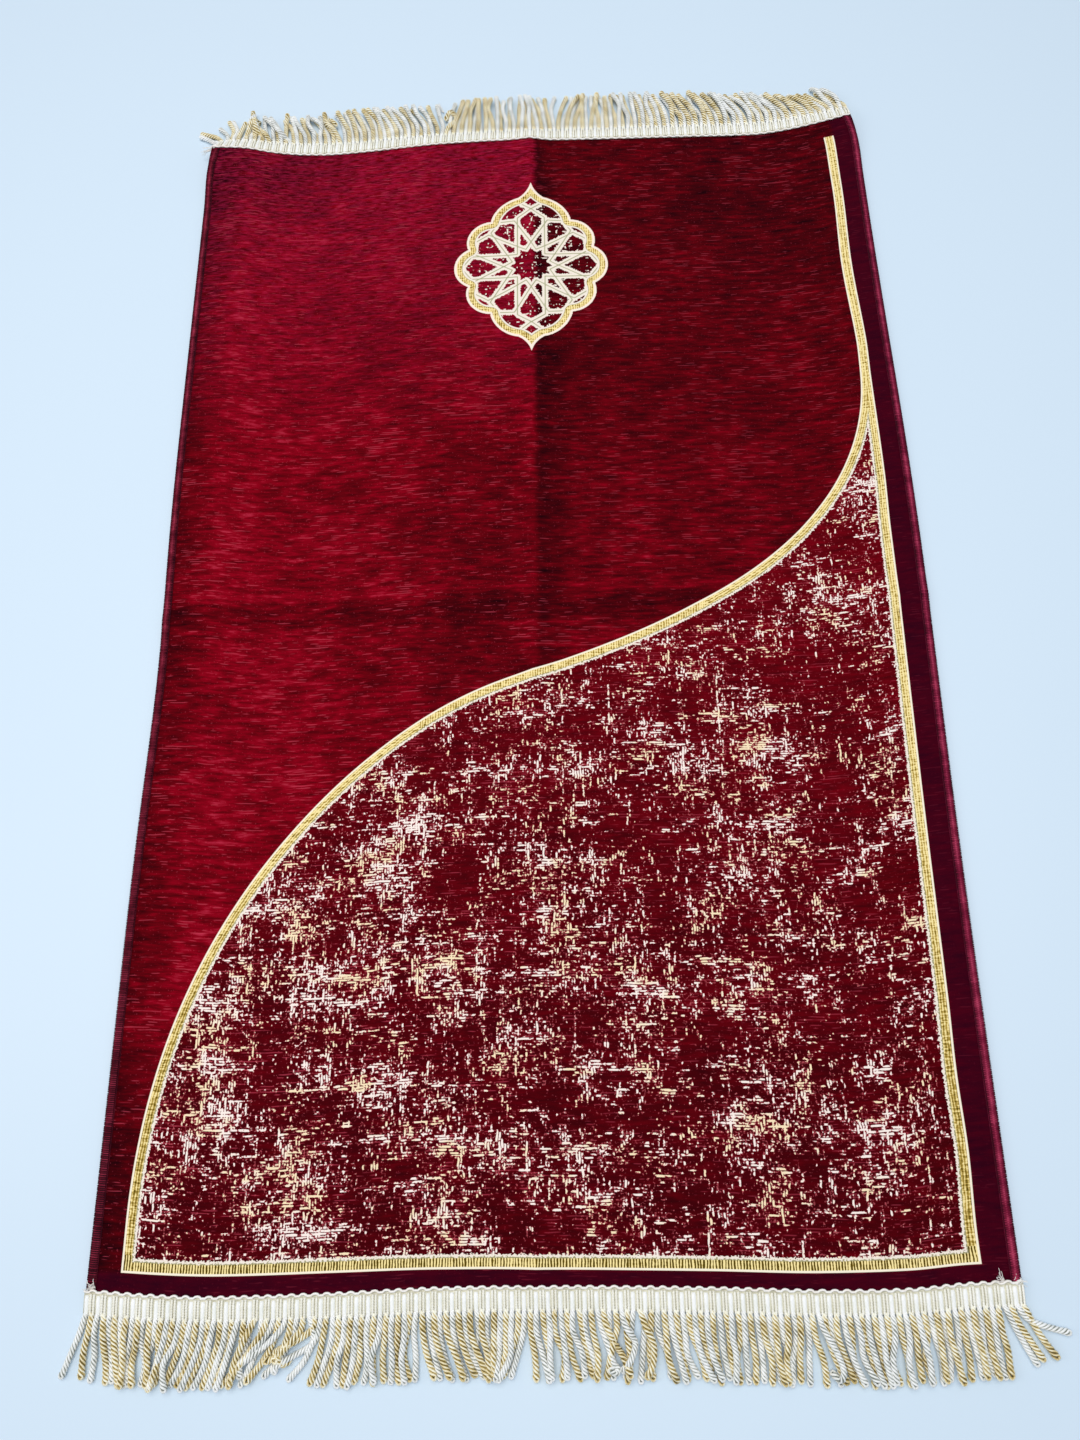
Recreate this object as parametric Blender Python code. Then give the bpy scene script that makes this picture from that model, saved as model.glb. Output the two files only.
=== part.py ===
"""A prayer rug of velvet pile laid flat: the cloth, its two overlocked sides and a fringe on each end.

Metres, +Z up. +X runs to the right across the rug and +Y along it, away from the near end. The origin is on
the floor under the middle of the whole rug, fringes included.
"""

import math

import bmesh
import bpy

# Driving dimensions, in metres.
LEFT_SIDE = -0.3460  # outer line of the left side, over its binding
RIGHT_SIDE = 0.3385
CLOTH_THICK = 0.0030  # woven ground and pile together
BINDING_WIDE = 0.0078
BINDING_TALL = 0.0042
HEADING_LONG = 0.0158  # from the cloth's edge to the roots of the cords
HEADING_TALL = 0.0034
CORD_LONG = 0.0445
CORD_PAIRS = 75  # on each end, one white and one gold cord in a pair
GAP = 0.0006  # between neighbouring pieces

# The sides aren't straight: the left is drawn in a little, the right bows out.
LEFT_DENT = {"deep": 0.0038, "at": -0.053, "reach": 0.120}
RIGHT_BOW = {"deep": 0.0050, "at": 0.087, "reach": 0.240}
CORNER_DRAW = {"deep": 0.0080, "from": 0.485, "reach": 0.056}  # both far corners curl up and draw in

# The near end of the cloth lies on the floor, in a slow wave.
NEAR_END = (
    # across, along
    (-0.347, -0.5418),
    (-0.292, -0.5457),
    (-0.243, -0.5470),
    (-0.157, -0.5448),
    (-0.085, -0.5419),
    (-0.004, -0.5412),
    (0.114, -0.5427),
    (0.196, -0.5450),
    (0.259, -0.5444),
    (0.300, -0.5410),
    (0.339, -0.5397),
)

# The far end lifts off the floor at its corners and a little at its middle.
FAR_END = (
    # across, along, raised
    (-0.338, 0.5398, 0.0120),
    (-0.320, 0.5420, 0.0085),
    (-0.302, 0.5421, 0.0060),
    (-0.281, 0.5384, 0.0035),
    (-0.262, 0.5357, 0.0020),
    (-0.243, 0.5337, 0.0012),
    (-0.214, 0.5320, 0.0010),
    (-0.171, 0.5332, 0.0015),
    (-0.097, 0.5355, 0.0040),
    (-0.004, 0.5354, 0.0040),
    (0.021, 0.5343, 0.0025),
    (0.154, 0.5307, 0.0010),
    (0.233, 0.5287, 0.0006),
    (0.259, 0.5305, 0.0015),
    (0.286, 0.5333, 0.0040),
    (0.331, 0.5411, 0.0080),
)
LIFT_REACH = 0.075  # how far in from the far end the cloth lifts
HEADING_SLOPE = 0.35  # share of the cloth's lift left at the roots of the far cords

# The rug was stored folded in four, which left two soft ridges across it.
LONG_FOLD = {"high": 0.0022, "half_wide": 0.032, "at": -0.006, "turns": 0.0074}
CROSS_FOLD = {"high": 0.0012, "half_wide": 0.026, "at": -0.001}

# Grid lines of the cloth: shares of its half width from the middle, and of its length from the near end.
ACROSS_LINES = (0.0, 0.045, 0.093, 0.20, 0.34, 0.48, 0.62, 0.75, 0.85, 0.93, 1.0)
ALONG_LINES = (
    0.0, 0.06, 0.13, 0.21, 0.29, 0.37, 0.43, 0.479, 0.503,
    0.527, 0.57, 0.64, 0.71, 0.78, 0.85, 0.89, 0.93, 0.955, 0.98, 1.0,
)  # fmt: skip

# How far the tip of a cord lies to the right of its root, for a root at each place across.
NEAR_LEAN = (
    # across, lean
    (-0.347, -0.008),
    (-0.334, 0.005),
    (-0.304, 0.002),
    (-0.274, -0.008),
    (-0.219, -0.014),
    (-0.194, -0.016),
    (-0.169, -0.007),
    (-0.134, -0.002),
    (-0.109, 0.001),
    (-0.089, 0.008),
    (-0.072, 0.008),
    (-0.044, -0.001),
    (-0.028, -0.006),
    (-0.012, 0.006),
    (0.036, 0.006),
    (0.062, -0.002),
    (0.081, 0.006),
    (0.106, 0.007),
    (0.146, 0.003),
    (0.161, 0.005),
    (0.178, 0.000),
    (0.192, 0.008),
    (0.226, 0.007),
    (0.296, 0.004),
    (0.321, 0.008),
    (0.339, 0.030),
)
FAR_LEAN = (
    # across, lean
    (-0.338, -0.022),
    (-0.326, -0.008),
    (-0.312, 0.003),
    (-0.289, -0.005),
    (-0.244, -0.008),
    (-0.184, -0.010),
    (-0.108, -0.014),
    (-0.096, 0.002),
    (-0.070, 0.006),
    (-0.044, -0.002),
    (-0.004, -0.001),
    (0.014, -0.006),
    (0.030, 0.005),
    (0.060, 0.003),
    (0.086, -0.004),
    (0.116, -0.007),
    (0.166, -0.012),
    (0.211, -0.017),
    (0.296, -0.020),
    (0.337, -0.022),
)

# A cord's sections: share of its length, share of its lean, widths at the floor and on top, height.
CORD_SECTIONS = (
    # along, leaned, floor_wide, top_wide, tall
    (0.00, 0.00, 0.0034, 0.0022, HEADING_TALL),
    (0.48, 0.36, 0.0031, 0.0020, 0.0032),
    (1.00, 1.00, 0.0025, 0.0014, 0.0026),
)
LENGTH_SPREAD = 0.0018  # cords are uneven by this much

# Half a binding's outline from the cloth outwards: share of its width, share of its height.
BINDING_OUTLINE = (
    # out, up
    (0.00, 0.00),
    (1.00, 0.00),
    (1.00, 0.55),
    (0.80, 0.93),
    (0.50, 1.00),
    (0.16, 0.95),
    (0.00, 0.72),
)

COLOURS = {
    "crimson_pile": (0.21, 0.006, 0.022),
    "overlock_yarn": (0.16, 0.008, 0.024),
    "fringe_yarn": (0.80, 0.68, 0.43),
}


def clear_scene():
    for thing in list(bpy.data.objects):
        bpy.data.objects.remove(thing, do_unlink=True)


def yarn_material(name):
    material = bpy.data.materials.new(name)
    material.use_nodes = True
    shader = material.node_tree.nodes["Principled BSDF"]
    shader.inputs["Base Color"].default_value = (*COLOURS[name], 1.0)
    shader.inputs["Roughness"].default_value = 0.85
    shader.inputs["Metallic"].default_value = 0.0
    return material


def table_at(rows, across, column):
    """A table's column at a place across, on a smooth curve through its rows."""
    last = len(rows) - 2
    here = 0
    while here < last and rows[here + 1][0] < across:
        here += 1
    start, end = rows[here], rows[here + 1]
    before = rows[max(here - 1, 0)]
    after = rows[min(here + 2, last + 1)]
    span = end[0] - start[0]
    share = min(max((across - start[0]) / span, 0.0), 1.0)
    slope_in = (end[column] - before[column]) / (end[0] - before[0])
    slope_out = (after[column] - start[column]) / (after[0] - start[0])
    rise = end[column] - start[column]
    cubed = slope_in * span - rise
    back = -slope_out * span + rise
    curve = share * (1.0 - share) * (cubed * (1.0 - share) + back * share)
    return start[column] + rise * share + curve


def straight_at(rows, across, column=1):
    """The same, but straight between the rows."""
    for start, end in zip(rows, rows[1:]):
        if across <= end[0]:
            share = max((across - start[0]) / (end[0] - start[0]), 0.0)
            return start[column] + (end[column] - start[column]) * share
    return rows[-1][column]


def bump(place, shape):
    return shape["deep"] * math.exp(-(((place - shape["at"]) / shape["reach"]) ** 2))


def corner_draw(along):
    beyond = min(max((along - CORNER_DRAW["from"]) / CORNER_DRAW["reach"], 0.0), 1.0)
    return CORNER_DRAW["deep"] * beyond**2


def left_side(along):
    return LEFT_SIDE + bump(along, LEFT_DENT) + corner_draw(along)


def right_side(along):
    return RIGHT_SIDE + bump(along, RIGHT_BOW) - corner_draw(along)


def near_end(across):
    return table_at(NEAR_END, across, 1)


def far_end(across):
    return table_at(FAR_END, across, 1)


def far_lift(across):
    return max(table_at(FAR_END, across, 2), 0.0)


def ridge(distance, half_wide):
    """One at the ridge's line, falling to nothing on both sides."""
    share = min(abs(distance) / half_wide, 1.0)
    return (1.0 - share) ** 2


def fold_line(along):
    """Where the long fold runs, nearly down the middle."""
    return LONG_FOLD["at"] + LONG_FOLD["turns"] * along


def cloth_lift(across, along):
    """How high the underside is off the floor. It lies on it all over but at the folds and the far end."""
    from_end = (far_end(across) - along) / LIFT_REACH
    lift = far_lift(across) * ridge(max(from_end, 0.0), 1.0)
    lift += LONG_FOLD["high"] * ridge(across - fold_line(along), LONG_FOLD["half_wide"])
    lift += CROSS_FOLD["high"] * ridge(along - CROSS_FOLD["at"], CROSS_FOLD["half_wide"])
    return lift if lift > 1e-5 else 0.0


def across_shares():
    """From -1 at the left side to 1 at the right one."""
    return [-share for share in reversed(ACROSS_LINES[1:])] + list(ACROSS_LINES)


def grid_along(across, share):
    start = near_end(across)
    return start + (far_end(across) - start) * share


def grid_across(share, rough):
    """A column of the cloth's grid. The middle one follows the long fold."""
    fold = fold_line(rough)
    inset = BINDING_WIDE + GAP
    if share < 0:
        return fold + (fold - left_side(rough) - inset) * share
    return fold + (right_side(rough) - inset - fold) * share


def end_rows(end_line):
    """An end of the rug as straight stretches between the cloth's columns, with the sides' outer lines."""
    left = left_side(end_line(LEFT_SIDE))
    right = right_side(end_line(RIGHT_SIDE))
    rough = end_line(0.0)
    places = [left] + [grid_across(share, rough) for share in across_shares()] + [right]
    return [(across, end_line(across), cloth_lift(across, end_line(across))) for across in places]


def finish(bm, name, material_name, smooth=True):
    """Makes the named object out of a bmesh."""
    bmesh.ops.recalc_face_normals(bm, faces=bm.faces)
    mesh = bpy.data.meshes.new(name)
    bm.to_mesh(mesh)
    bm.free()
    mesh.materials.append(yarn_material(material_name))
    if smooth:
        mesh.shade_smooth()
        mesh.set_sharp_from_angle(angle=math.radians(40))
    thing = bpy.data.objects.new(name, mesh)
    bpy.context.scene.collection.objects.link(thing)
    return thing


def rug_cloth():
    """One sheet, a grid on its top and one on its underside, joined round the rim."""
    bm = bmesh.new()
    shares = across_shares()
    tops = []
    floors = []
    for line in ALONG_LINES:
        top_row = []
        floor_row = []
        rough = grid_along(0.0, line)
        for share in shares:
            across = grid_across(share, rough)
            along = grid_along(across, line)
            lift = cloth_lift(across, along)
            floor_row.append(bm.verts.new((across, along, lift)))
            top_row.append(bm.verts.new((across, along, lift + CLOTH_THICK)))
        tops.append(top_row)
        floors.append(floor_row)
    for layer in (tops, floors):
        for row, beyond in zip(layer, layer[1:]):
            for here in range(len(shares) - 1):
                bm.faces.new((row[here], row[here + 1], beyond[here + 1], beyond[here]))
    for side in (0, -1):
        for here in range(len(ALONG_LINES) - 1):
            rim = (tops[here][side], tops[here + 1][side], floors[here + 1][side], floors[here][side])
            bm.faces.new(rim)
        for here in range(len(shares) - 1):
            rim = (tops[side][here], tops[side][here + 1], floors[side][here + 1], floors[side][here])
            bm.faces.new(rim)
    return finish(bm, "rug_cloth", "crimson_pile")


def side_binding(name, side_line, inward):
    """An overlocked side: a flat-bottomed roll of yarn along the cloth's edge, rising where the cloth does."""
    bm = bmesh.new()
    rings = []
    for line in ALONG_LINES:
        rough = grid_along(0.0, line)
        outer = side_line(rough)
        inner = outer + inward * BINDING_WIDE
        lift = cloth_lift(inner, grid_along(inner, line))
        ring = []
        for out, up in BINDING_OUTLINE:
            across = inner + (outer - inner) * out
            ring.append(bm.verts.new((across, grid_along(across, line), lift + BINDING_TALL * up)))
        rings.append(ring)
    count = len(BINDING_OUTLINE)
    for ring, beyond in zip(rings, rings[1:]):
        for here in range(count):
            after = (here + 1) % count
            bm.faces.new((ring[here], ring[after], beyond[after], beyond[here]))
    bm.faces.new(rings[0])
    bm.faces.new(rings[-1])
    return finish(bm, name, "overlock_yarn")


def cord_rings(bm, root, lean, outward, length, low):
    """The four corners of each section of one cord, from its root to its tip."""
    rings = []
    reach = math.sqrt(length**2 - lean**2)
    for along, leaned, floor_wide, top_wide, tall in CORD_SECTIONS:
        across = root[0] + lean * leaned
        place = root[1] + outward * reach * along
        bottom = low * (1.0 - along) ** 2
        ring = [
            bm.verts.new((across - floor_wide / 2, place, bottom)),
            bm.verts.new((across + floor_wide / 2, place, bottom)),
            bm.verts.new((across + top_wide / 2, place, bottom + tall)),
            bm.verts.new((across - top_wide / 2, place, bottom + tall)),
        ]
        rings.append(ring)
    return rings


def fringe(name, end_line, outward, leans):
    """The heading, a narrow strip, with its cords growing from its outer edge as one body."""
    bm = bmesh.new()
    rows = end_rows(end_line)
    left = rows[0][0]
    pitch = (rows[-1][0] - left) / (2 * CORD_PAIRS)
    cords = []
    for number in range(2 * CORD_PAIRS):
        across = left + pitch * (number + 0.5)
        root = (across, straight_at(rows, across) + outward * (GAP + HEADING_LONG))
        length = CORD_LONG + LENGTH_SPREAD * math.sin(2.4 * number)
        low = straight_at(rows, across, 2) * HEADING_SLOPE
        rings = cord_rings(bm, root, straight_at(leans, across), outward, length, low)
        cords.append(rings)
        for ring, beyond in zip(rings, rings[1:]):
            for here in range(4):
                after = (here + 1) % 4
                bm.faces.new((ring[here], ring[after], beyond[after], beyond[here]))
        bm.faces.new(rings[-1])
    floor_back = []
    top_back = []
    for number in range(CORD_PAIRS + 1):
        across = left + 2 * pitch * number
        along = straight_at(rows, across) + outward * GAP
        lift = straight_at(rows, across, 2)
        floor_back.append(bm.verts.new((across, along, lift)))
        top_back.append(bm.verts.new((across, along, lift + HEADING_TALL)))
    roots = [rings[0] for rings in cords]
    for number in range(CORD_PAIRS):
        here, after = roots[2 * number], roots[2 * number + 1]
        floor = (floor_back[number], floor_back[number + 1], after[1], after[0], here[1], here[0])
        top = (top_back[number], top_back[number + 1], after[2], after[3], here[2], here[3])
        bm.faces.new(floor)
        bm.faces.new(top)
        back = (floor_back[number], floor_back[number + 1], top_back[number + 1], top_back[number])
        bm.faces.new(back)
        if number + 1 < CORD_PAIRS:
            beyond = roots[2 * number + 2]
            bm.faces.new((floor_back[number + 1], beyond[0], after[1]))
            bm.faces.new((top_back[number + 1], beyond[3], after[2]))
    for here, after in zip(roots, roots[1:]):
        bm.faces.new((here[1], after[0], after[3], here[2]))
    bm.faces.new((floor_back[0], top_back[0], roots[0][3], roots[0][0]))
    bm.faces.new((floor_back[-1], top_back[-1], roots[-1][2], roots[-1][1]))
    return finish(bm, name, "fringe_yarn")


clear_scene()
rug_cloth()
side_binding("binding_left", left_side, 1)
side_binding("binding_right", right_side, -1)
fringe("fringe_near", near_end, -1, NEAR_LEAN)
fringe("fringe_far", far_end, 1, FAR_LEAN)
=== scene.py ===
"""Looks for a velvet prayer rug that lies flat: woven cloth, overlocked sides, a corded fringe at each end.

Metres, in the frame of the CAD part: +X across to the right, +Y along to the far end, +Z up from the floor.
"""

import bisect
import math
import random

import bmesh
import bpy
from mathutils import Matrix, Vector, geometry, kdtree, noise


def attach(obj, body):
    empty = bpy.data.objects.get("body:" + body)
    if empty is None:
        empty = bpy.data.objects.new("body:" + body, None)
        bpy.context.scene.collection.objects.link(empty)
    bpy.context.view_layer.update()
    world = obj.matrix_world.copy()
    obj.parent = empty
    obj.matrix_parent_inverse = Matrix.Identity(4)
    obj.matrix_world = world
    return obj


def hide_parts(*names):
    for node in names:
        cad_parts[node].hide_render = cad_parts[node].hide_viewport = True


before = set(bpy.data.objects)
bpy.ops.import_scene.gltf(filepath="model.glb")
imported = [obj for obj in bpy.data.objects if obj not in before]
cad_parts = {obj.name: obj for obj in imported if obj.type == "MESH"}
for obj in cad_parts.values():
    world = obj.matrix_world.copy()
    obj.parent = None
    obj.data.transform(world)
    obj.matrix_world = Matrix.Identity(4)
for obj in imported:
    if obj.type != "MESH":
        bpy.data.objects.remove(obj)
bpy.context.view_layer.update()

# Camera. A phone held over the near half of the rug, leaning a little towards the far end.
CAMERA_PLACE = (0.0388, -0.3878, 0.8520)
CAMERA_TURN = (18.292, 2.949, -0.852)  # degrees
CAMERA_LENS = 26.0  # mm, on a sensor 36 mm tall

bpy.ops.object.select_all(action="DESELECT")
bpy.ops.object.camera_add(location=CAMERA_PLACE, rotation=[math.radians(a) for a in CAMERA_TURN])
camera = bpy.context.object
camera.name = "camera"
camera.data.lens = CAMERA_LENS
bpy.context.scene.camera = camera


# Table. A large white laminate top with a faint blue cast and a soft gloss: printed paper under a clear
# melamine skin, pressed on board. The rug lies loose on it.
TABLE_SIZE = 12.0
TABLE_TOP = -0.0003  # just under the rug, so that the two faces don't lie in one plane
TABLE_COLOUR = "#d7e8f6"


def linear(code):
    """A colour written as sRGB hex, in linear light."""
    parts = [int(code[i : i + 2], 16) / 255.0 for i in (1, 3, 5)]
    return (*[p / 12.92 if p <= 0.04045 else ((p + 0.055) / 1.055) ** 2.4 for p in parts], 1.0)


def add(tree, kind, links=None, **settings):
    """Adds a shader node with its settings, links and values, and returns its output."""
    made = tree.nodes.new("ShaderNode" + kind)
    stops = settings.pop("stops", None)
    for name, value in settings.items():
        setattr(made, name, value)
    if stops:
        ramp = made.color_ramp
        while len(ramp.elements) < len(stops):
            ramp.elements.new(1.0)
        for element, (place, code) in zip(ramp.elements, stops):
            element.position = place
            element.color = linear(code)
    for socket, value in (links or {}).items():
        if isinstance(value, bpy.types.NodeSocket):
            tree.links.new(value, made.inputs[socket])
        else:
            made.inputs[socket].default_value = value
    return next((o for o in made.outputs if o.enabled), None)


def new_material(name):
    """An empty material with its output, and its node tree."""
    material = bpy.data.materials.new(name)
    material.use_nodes = True
    material.node_tree.nodes.clear()
    return material, material.node_tree


bpy.ops.object.select_all(action="DESELECT")
bpy.ops.mesh.primitive_plane_add(size=TABLE_SIZE, location=(0.0, 0.0, TABLE_TOP))
table = bpy.context.object
table.name = "table_top"
bpy.ops.object.transform_apply(location=True, rotation=True, scale=True)

# White laminate: smooth, a thin clear melamine skin that gives soft reflections.
laminate, tree = new_material("white_laminate")
shader = add(tree, "BsdfPrincipled", {"Base Color": linear(TABLE_COLOUR), "Roughness": 0.34, "IOR": 1.45})
add(tree, "OutputMaterial", {"Surface": shader})
table.data.materials.append(laminate)

# Studio light: a wide soft ceiling light, a softer one from the left, and pale walls all round.
LIGHTS = (
    # name, place, size, watts, colour
    ("ceiling_light", (-0.15, 0.16, 2.6), 2.4, 48.0, "#fffcf9"),
    ("left_light", (-2.3, -0.2, 1.7), 1.6, 10.0, "#fff8f2"),
)
WALL_COLOUR = "#dfeaf6"
WALL_LIGHT = 0.50

for name, place, size, watts, colour in LIGHTS:
    bpy.ops.object.light_add(type="AREA", location=place)
    lamp = bpy.context.object
    lamp.name = name
    lamp.data.shape = "DISK"
    lamp.data.size = size
    lamp.data.energy = watts
    lamp.data.color = linear(colour)[:3]
    lamp.rotation_euler = (-Vector(place)).to_track_quat("-Z", "Y").to_euler()

world = bpy.data.worlds.new("pale_room")
bpy.context.scene.world = world
world.use_nodes = True
world.node_tree.nodes["Background"].inputs["Color"].default_value = linear(WALL_COLOUR)
world.node_tree.nodes["Background"].inputs["Strength"].default_value = WALL_LIGHT
bpy.context.scene.view_settings.view_transform = "Standard"


# Rug cloth. One length of chenille velvet, jacquard woven in crimson, gold and cream, about 3 mm thick. It
# was stored folded in four, so two soft ridges cross it, and its far corners lift off the table. Both ends
# run on under the headings of the fringe, which are sewn over them.
LEFT_SIDE = -0.3460
RIGHT_SIDE = 0.3385
CLOTH_THICK = 0.0030
EDGE_INSIDE = 0.0014  # the cloth's cut edge, inside the overlocking
HEM_TUCK = 0.0065  # how far the ends run on under the headings
NEAR_ABOUT, FAR_ABOUT = -0.54, 0.54  # roughly where the two ends lie
LEFT_DENT = {"deep": 0.0038, "at": -0.053, "reach": 0.120}
RIGHT_BOW = {"deep": 0.0050, "at": 0.087, "reach": 0.240}
CORNER_DRAW = {"deep": 0.0080, "from": 0.485, "reach": 0.056}
NEAR_END = (
    # across, along
    (-0.347, -0.5418), (-0.292, -0.5457), (-0.243, -0.5470), (-0.157, -0.5448), (-0.085, -0.5419),
    (-0.004, -0.5412), (0.114, -0.5427), (0.196, -0.5450), (0.259, -0.5444), (0.300, -0.5410),
    (0.339, -0.5397),
)
FAR_END = (
    # across, along, raised
    (-0.338, 0.5398, 0.0120), (-0.320, 0.5420, 0.0085), (-0.302, 0.5421, 0.0060),
    (-0.281, 0.5384, 0.0035), (-0.262, 0.5357, 0.0020), (-0.243, 0.5337, 0.0012),
    (-0.214, 0.5320, 0.0010), (-0.171, 0.5332, 0.0015), (-0.097, 0.5355, 0.0040),
    (-0.004, 0.5354, 0.0040), (0.021, 0.5343, 0.0025), (0.154, 0.5307, 0.0010), (0.233, 0.5287, 0.0006),
    (0.259, 0.5305, 0.0015), (0.286, 0.5333, 0.0040), (0.331, 0.5411, 0.0080),
)
LIFT_REACH = 0.075
LEAST_LIFT = 1e-5  # cloth that lies nearer to the table than this lies on it
END_FALL = 41.0  # share of its lift that the hem loses under the heading, per metre past the cloth's end
LONG_FOLD = {"high": 0.0022, "half_wide": 0.032, "at": -0.006, "turns": 0.0074}
CROSS_FOLD = {"high": 0.0012, "half_wide": 0.026, "at": -0.001}
WRINKLES = (
    # how often they come per metre across and along, seed, height
    (11.0, 9.0, 3.0, 0.00030),
    (38.0, 30.0, 8.0, 0.00012),
)
BAND_WANDER = (
    # along, how far the right-hand gold band lies off its straight line
    (-0.540, -0.0022), (-0.507, -0.0030), (-0.455, -0.0008), (-0.401, -0.0022), (-0.345, -0.0009),
    (-0.200, -0.0005), (-0.031, -0.0003), (0.066, -0.0006), (0.117, 0.0011), (0.225, 0.0019),
    (0.267, 0.0030), (0.357, -0.0005), (0.440, 0.0012), (0.520, -0.0006), (0.550, -0.0006),
)
NEAR_WANDER = (
    # across, how far the near gold band lies off its straight line, away from the near end
    (-0.345, 0.0010), (-0.310, 0.0016), (-0.160, 0.0016), (-0.060, 0.0000), (0.020, -0.0009),
    (0.165, -0.0009), (0.250, 0.0000), (0.339, 0.0000),
)
BAND_PULL = {"from": 0.55, "grows": 0.36, "eases": 0.09}  # in shares of the right half of the cloth
NEAR_PUSH = {"grows": 0.010, "ends": 0.055, "eases": 0.045}  # from the cloth's end to past the near band
HALF_CLOTH_LEFT = 0.3386  # flat, from the long fold to the cut edge
HALF_CLOTH_RIGHT = 0.3431
FLAT_START = -0.5425
FLAT_LONG = 1.0775
HALF_COLUMNS = 92
ROWS = 300
HEM_ROWS = 2
BLOCK_ROWS = 8  # the underside is coarser by this much
BLOCK_COLUMNS = 4

# The woven design, in the flat cloth. One gold band runs down the right side and along the near end, another
# crosses the field as an ogee, and between the two the ground is speckled. A medallion lies at the far end.
BAND_HALF = 0.0049
RIGHT_BAND = 0.3086
NEAR_BAND = -0.5257
RIGHT_BAND_TOP = 0.5164
OGEE = (
    # two arcs that meet in the middle, as the four control points of each
    ((-0.3150, -0.4990), (-0.3150, -0.2710), (-0.1632, -0.1137), (-0.0208, -0.0699)),
    ((-0.0208, -0.0699), (0.1598, -0.0143), (0.3086, 0.0806), (0.3086, 0.2350)),
)
MEDALLION = (-0.0052, 0.3756)
MEDALLION_LOBES = (
    # a quarter of its outline, each arc through three points
    ((0.0770, 0.0000), (0.0738, 0.0126), (0.0632, 0.0226)),
    ((0.0632, 0.0226), (0.0596, 0.0465), (0.0407, 0.0567)),
    ((0.0407, 0.0567), (0.0285, 0.0778), (0.0129, 0.0857)),
    ((0.0129, 0.0857), (0.0048, 0.0932), (0.0000, 0.1035)),
)
STRAP_OFFSET = 0.0138  # from a petal's axis to the straps along both sides of it
PETALS = 12
PETAL_LONG = {"shoulder": 0.0600, "tip": 0.0700}  # the petals on the two main axes
PETAL_SHORT = {"shoulder": 0.0575, "tip": 0.0645}
TIP_STRAPS = (0.0090, 0.0067)  # the straps cross at the two end petals' tips and run on by this much
FINE_CUTS = 3
FINE_BOX = (0.09, 0.115)  # half the size of the box round the medallion that is cut finer
FINE_RIM = 0.005  # as far as this outside its outline
LINES_BOX = (0.10, 0.125)  # half the size of the box in which the distances to its lines are taken
FAR_OFF = 0.05  # stands for those distances elsewhere
LINES_END = 0.56  # the lines of the design are followed past the cloth's ends, as far as this
LINE_SPACING = 0.0005
STRAP_SPACING = 0.0003
OGEE_STEPS = 900  # to each of its arcs
LOBE_STEPS = 60


def clamped(value):
    """A value kept between nothing and one."""
    return min(max(value, 0.0), 1.0)


def table_at(rows, across, column):
    """A table's column at a place across, on a smooth curve through its rows."""
    last = len(rows) - 2
    here = 0
    while here < last and rows[here + 1][0] < across:
        here += 1
    start, end = rows[here], rows[here + 1]
    before = rows[max(here - 1, 0)]
    after = rows[min(here + 2, last + 1)]
    span = end[0] - start[0]
    share = clamped((across - start[0]) / span)
    slope_in = (end[column] - before[column]) / (end[0] - before[0])
    slope_out = (after[column] - start[column]) / (after[0] - start[0])
    rise = end[column] - start[column]
    cubed = slope_in * span - rise
    back = -slope_out * span + rise
    curve = share * (1.0 - share) * (cubed * (1.0 - share) + back * share)
    return start[column] + rise * share + curve


def bump(place, shape):
    return shape["deep"] * math.exp(-(((place - shape["at"]) / shape["reach"]) ** 2))


def corner_draw(along):
    return CORNER_DRAW["deep"] * clamped((along - CORNER_DRAW["from"]) / CORNER_DRAW["reach"]) ** 3


def left_side(along):
    return LEFT_SIDE + bump(along, LEFT_DENT) + corner_draw(along)


def right_side(along):
    return RIGHT_SIDE + bump(along, RIGHT_BOW) - corner_draw(along)


def near_end(across):
    return table_at(NEAR_END, across, 1)


def far_end(across):
    return table_at(FAR_END, across, 1)


def ridge(distance, half_wide):
    """One at the ridge's line, falling to nothing on both sides."""
    share = min(abs(distance) / half_wide, 1.0)
    return (1.0 - share) ** 2


def fold_line(along):
    return LONG_FOLD["at"] + LONG_FOLD["turns"] * along


def cloth_lift(across, along):
    """How high the cloth's underside is off the table."""
    from_end = (far_end(across) - along) / LIFT_REACH
    lift = max(table_at(FAR_END, across, 2), 0.0) * ridge(max(from_end, 0.0), 1.0)
    lift += LONG_FOLD["high"] * ridge(across - fold_line(along), LONG_FOLD["half_wide"])
    lift += CROSS_FOLD["high"] * ridge(along - CROSS_FOLD["at"], CROSS_FOLD["half_wide"])
    return lift if lift > LEAST_LIFT else 0.0


def end_lift(across, along):
    """The same at and beyond the cloth's ends, where the hem and the heading on it fall towards the table."""
    inside = min(max(along, near_end(across)), far_end(across))
    return cloth_lift(across, inside) * max(1.0 - END_FALL * abs(along - inside), 0.0)


def wrinkle(across, along):
    """The small unevenness of cloth that was folded and walked on."""
    return sum(
        high * noise.noise(Vector((across * wide, along * long, seed))) for wide, long, seed, high in WRINKLES
    )


def near_shift(across, flat_along):
    """How far the near band and the cloth beside it are pushed away from the near end."""
    growing = clamped((flat_along - FLAT_START) / NEAR_PUSH["grows"])
    easing = clamped((NEAR_BAND + NEAR_PUSH["ends"] - flat_along) / NEAR_PUSH["eases"])
    return table_at(NEAR_WANDER, across, 1) * growing * easing


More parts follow.
